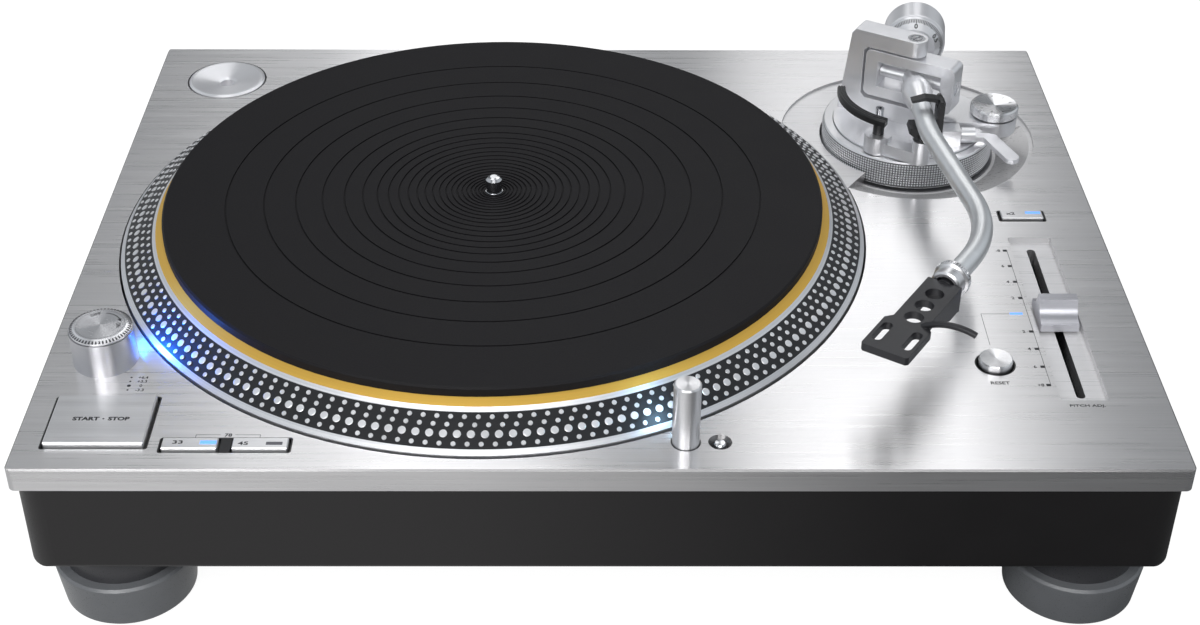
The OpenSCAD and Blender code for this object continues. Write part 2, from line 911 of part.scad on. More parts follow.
// Two-pin mains inlet with bevelled upper corners
inlet_w = 34;
inlet_h = 20;
inlet_bevel = 5;
inlet_l = 14;

module inlet_outline(w, h, b) {
    polygon([
        [-w / 2, -h / 2], [w / 2, -h / 2],
        [w / 2, h / 2 - b], [w / 2 - b, h / 2],
        [-w / 2 + b, h / 2], [-w / 2, h / 2 - b]
    ]);
}

module power_inlet() {
    color("black")
        translate([inlet_x, panel_y, recess_mid])
            rotate([90, 0, 180]) {
                difference() {
                    union() {
                        linear_extrude(inlet_l) inlet_outline(inlet_w, inlet_h, inlet_bevel);
                        linear_extrude(2)
                            square([recess_w - 2 * set_gap, recess_h - 2 * set_gap], center = true);
                    }
                    translate([0, 0, 2])
                        linear_extrude(inlet_l)
                            inlet_outline(inlet_w - 5, inlet_h - 5, inlet_bevel - 1);
                }
                for (s = [-1, 1])
                    translate([s * 7, 0, 5]) cube([2, 4, 8], center = true);
            }
}

// Platter assembly

module platter() {
    color("dimgray")
        on_plate(spindle_x, spindle_y)
            rotate_extrude()
                polygon([
                    [shaft_r + set_gap, disc_low],
                    [platter_r - rim_w, disc_low],
                    [platter_r - rim_w, -rim_drop],
                    [platter_r - 1, -rim_drop],
                    [platter_r, -rim_drop + 1],
                    [platter_r, lip_low],
                    [band_r, band_low],
                    [ring_out_r, band_high],
                    [brass_r, disc_high],
                    [shaft_r + set_gap, disc_high]
                ]);
}

module brass_plate() {
    color("goldenrod")
        on_plate(spindle_x, spindle_y)
            rotate_extrude()
                polygon([
                    [shaft_r + set_gap, disc_high],
                    [brass_r, disc_high],
                    [brass_r - brass_slope, brass_high],
                    [shaft_r + set_gap, brass_high]
                ]);
}

// Ring grooves of the mat: close together near the spindle, wider apart outside
function ring_at(first, step, growth, i) = first + step * (pow(growth, i) - 1) / (growth - 1);
inner_first = 5.4;
inner_step = 1.5;
inner_growth = 1.083;
outer_first = 58.5;
outer_step = 8.1;
outer_growth = 1.2;
inner_grooves = [for (i = [0 : 16]) ring_at(inner_first, inner_step, inner_growth, i)];
outer_grooves = [for (i = [0 : 5]) ring_at(outer_first, outer_step, outer_growth, i)];
groove_w = 0.8;
groove_depth = 0.6;

module mat() {
    color([0.13, 0.13, 0.13])
        on_plate(spindle_x, spindle_y)
            rotate_extrude()
                difference() {
                    polygon([
                        [boss_r + set_gap, brass_high],
                        [mat_r, brass_high],
                        [mat_r, mat_high - 0.8],
                        [mat_r - 0.8, mat_high],
                        [boss_r + set_gap, mat_high]
                    ]);
                    for (r = concat(inner_grooves, outer_grooves))
                        translate([r - groove_w / 2, mat_high - groove_depth])
                            square([groove_w, groove_depth + over]);
                }
}

module spindle() {
    low = floor_top + bearing_end - plate_z;
    color("silver")
        on_plate(spindle_x, spindle_y)
            rotate_extrude()
                polygon([
                    [0, low], [shaft_r, low],
                    [shaft_r, brass_high], [boss_r, brass_high],
                    [boss_r, mat_high], [spindle_r, mat_high],
                    [spindle_r, mat_high + spindle_h - 1.4],
                    [spindle_r - 1, mat_high + spindle_h - 0.3],
                    [spindle_r - 2, mat_high + spindle_h],
                    [0, mat_high + spindle_h]
                ]);
}

module rotor() {
    color("gray")
        on_plate(spindle_x, spindle_y)
            rotate_extrude()
                polygon([
                    [shaft_r + set_gap, disc_low], [rotor_r, disc_low],
                    [rotor_r, rotor_low], [rotor_r - 3, rotor_low],
                    [rotor_r - 3, magnet_low], [25, magnet_low],
                    [25, rotor_low], [shaft_r + set_gap, rotor_low]
                ]);
}

module platter_screws() {
    color("silver")
        for (i = [0 : 2])
            on_plate(spindle_x, spindle_y)
                rotate([0, 0, 30 + i * 120])
                    translate([platter_r - rim_w + 8, 0, -rim_drop - 2]) cylinder(h = 2, r = 4);
}

module adapter_45() {
    color("silver")
        on_plate(adapter_x, adapter_y)
            rotate_extrude()
                polygon([
                    [spindle_r + run_gap, -adapter_depth],
                    [adapter_r, -adapter_depth],
                    [adapter_r, 0.2],
                    [adapter_r - 1.2, 0.9],
                    [adapter_r - 2.2, 0.9],
                    [spindle_r + 1.6, -1.2],
                    [spindle_r + run_gap, -1.8]
                ]);
}

// Controls that move

power_stem_r = 4;

module power_knob() {
    color("silver")
        on_plate(power_x, power_y) {
            rotate_extrude()
                polygon([
                    [0, strobe_h + move_gap],
                    [strobe_r - 0.4, strobe_h + move_gap],
                    [strobe_r - 0.4, strobe_h + move_gap + power_t - 1],
                    [strobe_r - 2.6, strobe_h + move_gap + power_t],
                    [0, strobe_h + move_gap + power_t]
                ]);
            translate([0, 0, 2]) cylinder(h = strobe_h + move_gap - 2, r = power_stem_r);
        }
}

module start_button() {
    color("silver")
        on_plate(start_x, start_y) {
            translate([0, 0, button_low])
                chamfered_slab(start_w, start_d, start_rise - button_low, 0.8, 0.5);
            translate([0, 0, stem_low]) cylinder(h = button_low - stem_low, r = start_stem_r);
        }
}

module bar_button(w) {
    translate([0, 0, button_low]) chamfered_slab(w, bar_d, bar_rise - button_low, 0.6, 0.4);
    translate([0, 0, stem_low]) cylinder(h = button_low - stem_low, r = bar_stem_r);
}

module button_33() {
    color("silver")
        on_plate(speed_x - speed_dx, speed_y) bar_button(speed_w);
}

module button_45() {
    color("silver")
        on_plate(speed_x + speed_dx, speed_y) bar_button(speed_w);
}

module double_button() {
    color("silver")
        on_plate(double_x, double_y) bar_button(double_w);
}

module reset_button() {
    color("silver")
        on_plate(reset_x, reset_y)
            rotate_extrude()
                polygon([
                    [0, stem_low], [bar_stem_r, stem_low],
                    [bar_stem_r, button_low], [reset_r, button_low],
                    [reset_r, reset_rise - 0.5], [reset_r - 0.5, reset_rise],
                    [0, reset_rise - 0.4]
                ]);
}

module lamp_button() {
    color("silver")
        on_plate(lamp_x + lamp_button_dx, lamp_y)
            translate([0, 0, stem_low])
                rotate_extrude()
                    polygon([
                        [0, 0], [lamp_button_r, 0],
                        [lamp_button_r, -stem_low - 0.7],
                        [lamp_button_r - 0.5, -stem_low - 0.2],
                        [0, -stem_low]
                    ]);
}

module stylus_lamp() {
    color("silver")
        on_plate(lamp_x, lamp_y)
            difference() {
                rotate_extrude()
                    polygon([
                        [0, -lamp_tail], [lamp_r, -lamp_tail],
                        [lamp_r, lamp_h - 0.6], [lamp_r - 0.6, lamp_h], [0, lamp_h]
                    ]);
                translate([0, 0, lamp_lens_rise])
                    rotate([-90, 0, 0]) cylinder(h = 2 * lamp_r, r = lamp_lens_r + set_gap);
            }
}

module lamp_lens() {
    color("lightcyan")
        on_plate(lamp_x, lamp_y)
            translate([0, 0, lamp_lens_rise])
                rotate([-90, 0, 0]) cylinder(h = lamp_r - 1.2, r = lamp_lens_r);
}

// Fader knob with a hollow face on each side of its ridge
module fader_knob() {
    low = -fader_depth + 1;
    hollow_r = fader_knob_l / 2 - 2;
    color("silver")
        on_plate(fader_x, fader_y)
            rotate([0, 0, 90])
                upright(fader_knob_w)
                    difference() {
                        translate([-fader_knob_l / 2, low])
                            square([fader_knob_l, fader_knob_rise - low]);
                        for (s = [-1, 1])
                            translate([s * (fader_knob_l / 2 + 0.3), fader_knob_rise + 0.3])
                                circle(hollow_r);
                    }
}

module fader_carriage() {
    color("black")
        on_plate(fader_x, fader_y) {
            translate([-blade_w / 2, -blade_l / 2, carriage_top - 1])
                cube([blade_w, blade_l, -fader_depth + 1 - carriage_top + 1]);
            translate([-carriage_w / 2, -carriage_l / 2, carriage_top - carriage_h])
                cube([carriage_w, carriage_l, carriage_h]);
        }
}

// Arm base

module height_ring() {
    color("silver")
        at_pivot()
            rotate_extrude()
                polygon([
                    [sleeve_r + run_gap, ring_low],
                    [ring_r, ring_low],
                    [ring_r, ring_rise - 0.6],
                    [ring_r - 0.6, ring_rise],
                    [arm_plate_r + move_gap, ring_rise],
                    [arm_plate_r + move_gap, ring_lip_z],
                    [sleeve_r + run_gap, ring_lip_z]
                ]);
}

// A bar with round ends between two points in plan
link_inset = 0.1;

module link_outline(a, b, w) {
    d = b - a;
    translate(a)
        rotate(atan2(d[1], d[0]))
            translate([0, -w / 2 + link_inset]) square([norm(d), w - 2 * link_inset]);
    for (p = [a, b])
        translate(p) circle(w / 2);
}

lift_post = [lift_r * cos(lift_dir), lift_r * sin(lift_dir)];
rest_post = [0, -rest_y];
bracket_end = [dial_reach * cos(dial_dir), dial_reach * sin(dial_dir)];
bracket_from = norm([yoke_heel, yoke_t / 2]) + 2 * move_gap;

// Bracket of the anti-skating dial: a tapering tongue with a round end
module bracket_outline() {
    polygon([
        [bracket_from, -dial_r - 1.8], [dial_reach, -dial_r + 0.3],
        [dial_reach, dial_r - 0.3], [bracket_from, dial_r + 1.8]
    ]);
    translate([dial_reach, 0]) circle(dial_r);
}

module arm_base_plate() {
    low = arm_plate_low;
    seat = arm_plate_rise - 0.5;
    color("silver")
        at_pivot()
            difference() {
                union() {
                    translate([0, 0, low]) cylinder(h = arm_plate_rise - low, r = arm_plate_r);
                    translate([0, 0, guide_low]) cylinder(h = low - guide_low + 0.5, r = guide_r);
                    translate([0, 0, seat])
                        rotate([0, 0, dial_dir])
                            linear_extrude(bracket_rise - seat) bracket_outline();
                    translate([0, 0, seat])
                        linear_extrude(13.5 - seat) link_outline(lift_post, rest_post, 8);
                    translate([lift_post[0], lift_post[1], seat])
                        cylinder(h = lift_post_rise - seat, r = lift_post_r);
                    translate([rest_post[0], rest_post[1], seat + 0.3])
                        cylinder(h = rest_boss_rise - seat - 0.3, r = rest_boss_r);
                    translate([cue_x - 9, cue_y - 4, seat])
                        cube([9 - move_gap, 8, cue_rise + 4 - seat]);
                    translate([cue_x - over, cue_y, cue_rise])
                        rotate([0, 90, 0]) cylinder(h = cue_pin_l + over, r = cue_pin_r);
                }
                translate([0, 0, guide_low - over]) cylinder(h = low - guide_low, r = guide_r - 4);
                translate([lift_post[0], lift_post[1], arm_plate_rise + 1])
                    cylinder(h = lift_post_rise, r = lift_piston_r + run_gap);
                translate([rest_post[0], rest_post[1], rest_boss_rise - 6])
                    cylinder(h = 7, r = rest_stem_r + set_gap);
                translate([bracket_end[0], bracket_end[1], arm_plate_rise + 1])
                    cylinder(h = bracket_rise, r = dial_pin_r + run_gap);
                translate([lift_screw_r * cos(lift_screw_dir), lift_screw_r * sin(lift_screw_dir), low + 1])
                    cylinder(h = bracket_rise, r = 2 + set_gap);
            }
}

// C-shaped yoke with a post that flares to its foot
module yoke() {
    top = yoke_rise;
    low = arm_plate_rise;
    color("silver")
        at_yoke()
            difference() {
                union() {
                    upright(yoke_t)
                        polygon([
                            [-yoke_heel, low], [post_foot, low],
                            [post_out + 0.4, top - 2.4], [post_out - 1.6, top],
                            [0, top], [0, top - yoke_arm_h],
                            [post_in - 2, top - yoke_arm_h], [post_in, top - yoke_arm_h - 2],
                            [post_in, low + yoke_low_h + 2], [post_in - 2, low + yoke_low_h],
                            [-yoke_heel, low + yoke_low_h]
                        ]);
                    translate([0, 0, top - yoke_arm_h]) cylinder(h = yoke_arm_h, r = yoke_t / 2);
                }
                translate([0, 0, top - yoke_arm_h - over])
                    cylinder(h = yoke_arm_h + 2 * over, r = pivot_pin_r + run_gap);
                translate([0, 0, top - lock_nut_h]) cylinder(h = 2, r = lock_nut_r);
                translate([0, 0, low + over])
                    cylinder(h = yoke_low_h + over, r = pivot_pin_r + run_gap);
            }
}

// Upper pivot's screw in its lock nut, and the lift's height screw
module arm_screws() {
    color("silver") {
        at_pivot()
            translate([0, 0, yoke_rise - lock_nut_h])
                difference() {
                    cylinder(h = lock_nut_h, r = lock_nut_r - set_gap);
                    translate([0, 0, lock_nut_h / 2])
                        difference() {
                            cylinder(h = lock_nut_h, r = lock_screw_r + lock_gap);
                            translate([0, 0, -over])
                                cylinder(h = 2 * lock_nut_h + over, r = lock_screw_r);
                        }
                    translate([0, 0, lock_nut_h])
                        rotate([0, 0, 35])
                            cube([2 * lock_screw_r + lock_gap, 0.9, lock_nut_h], center = true);
                }
        polar(lift_screw_r, lift_screw_dir)
            translate([0, 0, arm_plate_low + 1])
                difference() {
                    cylinder(h = lift_screw_top - arm_plate_low - 1, r = 2);
                    translate([0, 0, lift_screw_top - arm_plate_low - 2.5])
                        cylinder(h = 3, r = 1.1, $fn = 6);
                }
    }
}

// Arm rest: a stem in the boss, a saddle under the tube and a side slab that carries the clip
rest_stem_r = 2.8;
rest_len = 9;
slab_in = tube_r + 1.2;
slab_t = 3;
clip_pin_r = 1;
clip_y = -37;
clip_rise = arm_rise + tube_r + 2.2;
saddle_high = arm_rise - tube_r - move_gap;

module arm_rest() {
    color("black")
        at_pivot() {
            translate([rest_post[0], rest_post[1], rest_boss_rise - 6])
                cylinder(h = saddle_high - rest_boss_rise + 4.5, r = rest_stem_r);
            translate([0, clip_y, 0])
                difference() {
                    upright(rest_len)
                        polygon([
                            [-6, saddle_high], [-6.6, saddle_high - 2.5], [-3, saddle_high - 5.5],
                            [slab_in + slab_t - 2, saddle_high - 5.5],
                            [slab_in + slab_t, saddle_high - 3.5],
                            [slab_in + slab_t, clip_rise + 0.8],
                            [slab_in + slab_t - 1, clip_rise + 2.2],
                            [slab_in + 0.6, clip_rise + 2.2],
                            [slab_in, clip_rise + 1.2],
                            [slab_in, saddle_high]
                        ]);
                    translate([slab_in + slab_t / 2, 0, clip_rise])
                        rotate([90, 0, 0])
                            cylinder(h = rest_len + 2, r = clip_pin_r + run_gap, center = true);
                    translate([slab_in + slab_t / 2, 0, clip_rise])
                        rotate([90, 0, 0]) cylinder(h = rest_len - 4, r = 2.6, center = true);
                    translate([slab_in - 1, 0, clip_rise])
                        cube([slab_t + 1, rest_len - 4, 5], center = true);
                }
        }
}

// Strap of the rest's clip, hinged in the side slab
module rest_clip() {
    strap_l = rest_len - 4 - 2 * move_gap;
    reach = slab_in + slab_t / 2 + tube_r + 1.5;
    color("black")
        at_pivot()
            translate([slab_in + slab_t / 2, clip_y, clip_rise]) {
                rotate([90, 0, 0]) cylinder(h = rest_len, r = clip_pin_r, center = true);
                rotate([90, 0, 0]) cylinder(h = strap_l, r = 2, center = true);
                upright(strap_l)
                    polygon([
                        [0, -0.6], [-3, 0.9], [-reach / 2 - 1, 1.6], [-reach, 0.4],
                        [-reach - 0.6, 1.4], [-reach / 2 - 1, 3.4], [-3, 2.9], [0, 1.8]
                    ]);
            }
}

module antiskate_dial() {
    low = bracket_rise + move_gap;
    color("silver")
        at_pivot()
            translate([bracket_end[0], bracket_end[1], 0]) {
                rotate_extrude()
                    polygon([
                        [0, low], [dial_r - 0.6, low], [dial_r, low + 0.6],
                        [dial_r, low + dial_t - 0.8], [dial_r - 0.8, low + dial_t],
                        [0, low + dial_t - 1]
                    ]);
                translate([0, 0, arm_plate_rise + 2])
                    cylinder(h = low - arm_plate_rise - 1.5, r = dial_pin_r);
            }
}

cue_blade_w = 7;
cue_blade_t = 2.4;
cue_blade_from = [36, -24];
cue_blade_to = [42.5, -42];

module cue_lever() {
    low = cue_rise - 2.6;
    color("silver")
        at_pivot()
            difference() {
                union() {
                    translate([cue_x, cue_y, cue_rise])
                        rotate([0, 90, 0]) cylinder(h = cue_hub_l, r = cue_hub_r);
                    translate([0, 0, low])
                        linear_extrude(cue_blade_t) {
                            translate([cue_x + cue_hub_l - 1, cue_y - 2])
                                square([cue_blade_from[0] - cue_x - cue_hub_l + 1, 4]);
                            link_outline(cue_blade_from, cue_blade_to, cue_blade_w);
                        }
                }
                translate([cue_x - over, cue_y, cue_rise])
                    rotate([0, 90, 0])
                        cylinder(h = cue_pin_l + move_gap + over, r = cue_pin_r + run_gap);
            }
}

// Curved lift bar on its piston
module lift_bar() {
    color("black")
        at_pivot() {
            rotate([0, 0, lift_from])
                rotate_extrude(angle = lift_to - lift_from)
                    difference() {
                        polygon([
                            [lift_r - lift_bar_w / 2, lift_bar_low],
                            [lift_r + lift_bar_w / 2, lift_bar_low],
                            [lift_r + lift_bar_w / 2, lift_bar_low + lift_bar_h - 1],
                            [lift_r + lift_bar_w / 2 - 0.5, lift_bar_low + lift_bar_h],
                            [lift_r - lift_bar_w / 2 + 0.5, lift_bar_low + lift_bar_h],
                            [lift_r - lift_bar_w / 2, lift_bar_low + lift_bar_h - 1]
                        ]);
                        for (s = [-1, 1])
                            translate([lift_r + s * lift_bar_w / 6, lift_bar_low + lift_bar_h])
                                square(0.6, center = true);
                    }
            translate([lift_post[0], lift_post[1], arm_plate_rise + 1.5])
                cylinder(h = lift_bar_low - arm_plate_rise - 1, r = lift_piston_r);
        }
}

// Tonearm

module gimbal_frame() {
    color("silver")
        at_yoke()
            difference() {
                union() {
                    translate([0, 0, arm_rise])
                        upright(yoke_t)
                            difference() {
                                round_rect(2 * frame_half, 2 * frame_half_h, 3);
                                square([2 * window_half, 2 * window_half_h], center = true);
                            }
                    translate([0, 0, frame_high - over])
                        cylinder(h = pivot_pin_l + over, r = pivot_pin_r);
                    translate([0, 0, frame_low - pivot_pin_l])
                        cylinder(h = pivot_pin_l + over, r = pivot_pin_r);
                }
                for (s = [-1, 1])
                    translate([s * window_half, 0, arm_rise])
                        rotate([0, s * 90, 0])
                            translate([0, 0, -over]) {
                                cylinder(h = axle_pin_l + over, r = axle_pin_r + run_gap);
                                translate([0, 0, axle_pin_l + over])
                                    cylinder(h = 10, r = side_screw_r + set_gap);
                            }
            }
}

module gimbal_screws() {
    color("gray")
        at_yoke()
            for (s = [-1, 1])
                translate([s * (window_half + axle_pin_l), 0, arm_rise])
                    rotate([0, s * 90, 0])
                        difference() {
                            cylinder(h = frame_half - window_half - axle_pin_l - 0.2, r = side_screw_r);
                            translate([0, 0, frame_half - window_half - axle_pin_l])
                                cube([1.5 * side_screw_r, 0.9, 1.2], center = true);
                        }
}

// The arm's own frame: X along the tube where it leaves the pivot
module at_arm() {
    at_pivot() translate([0, 0, arm_rise]) rotate([0, 0, root_dir]) children();
}

module after_straight_1() {
    at_arm() translate([straight_1, 0, 0]) children();
}

module after_straight_2() {
    after_straight_1()
        translate([bend_1_r * sin(bend_1), bend_1_r * (1 - cos(bend_1)), 0])
            rotate([0, 0, bend_1]) translate([straight_2, 0, 0]) children();
}

module after_bend_2() {
    after_straight_2()
        translate([bend_2_r * sin(bend_2), -bend_2_r * (1 - cos(bend_2)), 0])
            rotate([0, 0, -bend_2]) children();
}

module rod_x(l, r) {
    rotate([0, 90, 0]) cylinder(h = l, r = r);
}

// S-shaped tube: the straights are a hair thinner and sink into the bends
tube_hair = 0.02;
straight_r = tube_r - tube_hair;

module arm_tube() {
    color("silver") {
        at_arm() translate([hub_l, 0, 0]) rod_x(straight_1 - hub_l + seat_in, straight_r);
        after_straight_1()
            translate([0, bend_1_r, 0])
                rotate([0, 0, -90])
                    rotate_extrude(angle = bend_1) translate([bend_1_r, 0]) circle(tube_r);
        after_straight_2()
            translate([-straight_2 - seat_in, 0, 0]) rod_x(straight_2 + 2 * seat_in, straight_r);
        after_straight_2()
            translate([0, -bend_2_r, 0])
                rotate([0, 0, 90 - bend_2])
                    rotate_extrude(angle = bend_2) translate([bend_2_r, 0]) circle(tube_r);
        after_bend_2() translate([-seat_in, 0, 0]) rod_x(straight_3 - plug_l + seat_in, straight_r);
    }
}

// Hub on its cross axle, with the threaded stub for the counterweight
module arm_axle() {
    color("silver") {
        at_arm()
            turned_along_x()
                polygon([
                    [0, 0], [stub_r - 0.2, 0], [stub_r, 7], [hub_r - 0.7, 10.5],
                    [hub_r, 14], [hub_r, 17], [tube_r + 1, hub_l - 3],
                    [tube_r + 0.3, hub_l], [0, hub_l]
                ]);
        at_pivot() translate([0, 0, arm_rise]) rotate([0, 0, rear_dir]) rod_x(stub_end, stub_r);
        at_yoke()
            translate([0, 0, arm_rise]) {
                translate([-window_half + move_gap, 0, 0])
                    rod_x(2 * (window_half - move_gap), axle_r);
                translate([-window_half - axle_pin_l + move_gap, 0, 0])
                    rod_x(2 * (window_half + axle_pin_l - move_gap), axle_pin_r);
            }
    }
}

module lock_collar() {
    color("silver")
        after_bend_2()
            translate([straight_3 - collar_l, 0, 0])
                turned_along_x()
                    polygon([
                        [tube_r + run_gap, 0], [collar_r + 0.6, 0],
                        [collar_r + 1, 0.4], [collar_r + 1, 3.2], [collar_r, 3.8],
                        [collar_r, collar_l - 1], [collar_r - 0.8, collar_l - move_gap],
                        [tube_r + run_gap, collar_l - move_gap]
                    ]);
}

// Headshell: a pierced plate with a deep rear end, two slots and a finger lift
shell_neck_w = 14.8;
shell_neck_l = 35;
shell_deep = 11;
shell_slope_l = 28;
shell_wall = 1.6;
shell_hole_r = 3.8;
shell_hole_from = 10;
shell_hole_pitch = 9.6;
shell_top = 2.5;
slot_r = 2;
slot_l = 13.2;
slot_from_tip = 5;
finger_r = 25;
finger_t = 2.6;
finger_from = 127;
finger_to = 74;

module shell_outline() {
    polygon([
        [0, -shell_neck_w / 2], [shell_neck_l - 3, -shell_neck_w / 2],
        [shell_neck_l, -shell_w / 2], [shell_l - 1, -shell_w / 2],
        [shell_l, -shell_w / 2 + 1], [shell_l, shell_w / 2 - 1],
        [shell_l - 1, shell_w / 2], [shell_neck_l, shell_w / 2],
        [shell_neck_l - 3, shell_neck_w / 2], [0, shell_neck_w / 2]
    ]);
}

module headshell() {
    color([0.12, 0.12, 0.13])
        after_bend_2()
            translate([straight_3, 0, 0]) {
                difference() {
                    union() {
                        translate([0, 0, shell_top - shell_t])
                            linear_extrude(shell_t) shell_outline();
                        upright(shell_neck_w)
                            polygon([
                                [0, shell_top - 0.5], [shell_slope_l, shell_top - 0.5],
                                [shell_slope_l - 3, shell_top - shell_t - 0.5], [9, shell_top - shell_deep],
                                [2, shell_top - shell_deep], [0, 2 - shell_deep]
                            ]);
                        translate([shell_neck_l + 1, shell_w / 2 - 1.2, shell_top - shell_t])
                            cube([shell_l - shell_neck_l - 3, 1.2, shell_t]);
                    }
                    translate([4, -shell_neck_w / 2 + shell_wall, -shell_deep])
                        cube([
                            shell_slope_l,
                            shell_neck_w - 2 * shell_wall,
                            shell_deep + shell_top - shell_t
                        ]);
                    for (i = [0 : 2])
                        translate([shell_hole_from + i * shell_hole_pitch, 0, -shell_deep])
                            cylinder(h = 2 * shell_deep, r = shell_hole_r);
                    for (s = [-1, 1])
                        translate([shell_l - slot_l / 2 - slot_from_tip, s * slot_pitch / 2, -shell_deep])
                            slab(slot_l, 2 * slot_r, 2 * shell_deep, slot_r - 0.01);
                }
                translate([-plug_l, 0, 0]) rod_x(plug_l + 1, plug_r);
                translate([shell_neck_l - 2.5, shell_neck_w / 2 - 2, shell_top - 0.5])
                    finger_lift();
            }
}

// Finger lift: a round bar that rises from the plate and bows out to the side
module finger_lift() {
    rotate([90, 0, 90])
        translate([-finger_r * cos(finger_from), -finger_r * sin(finger_from), 0])
            rotate([0, 0, finger_to])
                rotate_extrude(angle = finger_from - finger_to)
                    translate([finger_r, 0]) circle(finger_t / 2);
}

module at_rear(d) {
    at_pivot() translate([0, 0, arm_rise]) rotate([0, 0, rear_dir]) translate([d, 0, 0]) children();
}

module counterweight() {
    color("silver")
        at_rear(weight_from_pivot)
            turned_along_x()
                polygon([
                    [stub_r + run_gap, 0], [weight_r - 0.5, 0],
                    [weight_r, 0.5], [weight_r, weight_l - 1.5],
                    [weight_r - 1.5, weight_l], [0, weight_l],
                    [0, weight_l - 2.5], [stub_r + run_gap, weight_l - 2.5]
                ]);
}

// Stylus pressure dial in front of the weight
module pressure_dial() {
    color("lightgray")
        at_rear(weight_from_pivot - press_l - move_gap)
            turned_along_x()
                polygon([
                    [stub_r + run_gap, 0], [weight_r - 5, 0],
                    [weight_r - 1, press_l - 1.5], [weight_r - 0.6, press_l],
                    [stub_r + run_gap, press_l]
                ]);
}

// Feet

// Cup on a neck, with the stud that screws into the base
module foot(x, y) {
    color([0.2, 0.2, 0.21])
        translate([x * foot_x, y * foot_y, 0])
            rotate_extrude()
                polygon([
                    [0, 0], [cup_r - 3.5, 0], [cup_r - 2, 1.5],
                    [cup_r, cup_h - 2], [cup_r, cup_h - 1], [cup_r - 1, cup_h],
                    [neck_r, cup_h], [neck_r, foot_h - move_gap],
                    [stud_r, foot_h - move_gap], [stud_r, foot_h + base_floor - 0.5],
                    [0, foot_h + base_floor - 0.5]
                ]);
}

module foot_front_left() { foot(-1, -1); }
module foot_front_right() { foot(1, -1); }
module foot_back_left() { foot(-1, 1); }
module foot_back_right() { foot(1, 1); }

top_plate();
chassis();
base_shell();
base_screws();
start_tray();
speed_tray();
double_tray();
reset_cup();
strobe_housing();
strobe_lens();
lamp_sleeve();
fader_track();
motor_stator();
bearing_housing();
control_board();
power_supply();
arm_flange();
terminal_panel();
phono_jacks();
ground_post();
power_inlet();
platter();
brass_plate();
mat();
spindle();
rotor();
platter_screws();
adapter_45();
power_knob();
start_button();
button_33();
button_45();
lamp_button();
reset_button();
double_button();
stylus_lamp();
lamp_lens();
fader_knob();
fader_carriage();
height_ring();
arm_base_plate();
yoke();
arm_screws();
arm_rest();
antiskate_dial();
cue_lever();
lift_bar();
rest_clip();
gimbal_frame();
gimbal_screws();
arm_tube();
arm_axle();
headshell();
lock_collar();
counterweight();
pressure_dial();
foot_front_left();
foot_front_right();
foot_back_left();
foot_back_right();
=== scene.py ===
import math

import bpy
from mathutils import Matrix, Vector


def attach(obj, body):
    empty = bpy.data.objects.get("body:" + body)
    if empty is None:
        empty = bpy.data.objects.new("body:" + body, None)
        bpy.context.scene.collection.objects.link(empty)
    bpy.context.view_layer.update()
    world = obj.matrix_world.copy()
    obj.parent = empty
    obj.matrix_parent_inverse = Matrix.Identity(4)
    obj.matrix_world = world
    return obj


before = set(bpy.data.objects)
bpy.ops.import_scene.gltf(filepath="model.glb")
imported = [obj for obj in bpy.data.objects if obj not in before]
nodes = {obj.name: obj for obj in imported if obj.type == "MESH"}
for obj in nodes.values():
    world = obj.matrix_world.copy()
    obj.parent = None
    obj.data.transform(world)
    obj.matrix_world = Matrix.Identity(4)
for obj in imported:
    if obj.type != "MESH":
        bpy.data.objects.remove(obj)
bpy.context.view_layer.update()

# Sizes are in millimetres in the part's frame. A "rise" is a height above the plate's top face.
MM = 0.001
PLATE_Z = 88.3
SPINDLE = (-47.3, 0.0)
POWER = (-202.0, -102.7)
ADAPTER = (-190.3, 138.7)
RESET = (161.1, -105.4)
LAMP = (32.6, -156.4)
DIAL = (190.3, 77.8)  # anti-skating dial
FADER = (192.8, -70.0)
PIVOT = (150.5, 84.0)  # the arm's upright axis
ARM_RISE = 31.0  # the arm's level axis
REAR_DIR = 81.0  # the way its rear end points, in degrees from +X
SHELL_FROM = (138.5, -95.53)  # where the collar ends and the headshell starts
SHELL_DIR = -123.0  # the way the headshell points
COLLAR_LENGTH = 9.5

BAND_LOW, BAND_HIGH = (164.2, 2.4), (151.2, 10.7)  # radius and rise of the platter's sloping band
BAND_BLACK = (151.4, 164.05)  # radii between which the band is black
BAND_BLACK_RISE = 2.0  # and the rise above which it is
NECK_Z = 21.1  # where a foot's neck starts
RECESS_REACH = (9.9, 60.4)  # half width and half length of the fader's recess, with its walls
RECESS_DEEP = 3.02
SUNK_BY = 0.4  # a level face this far below the plate's top is the floor of a recess
INK = 0.06  # thickness of printed marks
BEDDED = 0.02  # how far they reach into the face below them

scene = bpy.context.scene


def srgb(r, g, b):
    """A colour given as 0 to 255 screen values, as linear RGBA."""
    def linear(c):
        c /= 255
        return c / 12.92 if c <= 0.04045 else ((c + 0.055) / 1.055) ** 2.4
    return (linear(r), linear(g), linear(b), 1.0)


def scaled(colour, k):
    return tuple(min(1.0, c * k) for c in colour[:3]) + (1.0,)


def level(degrees):
    """A level direction, in degrees from +X."""
    a = math.radians(degrees)
    return (math.cos(a), math.sin(a), 0.0)


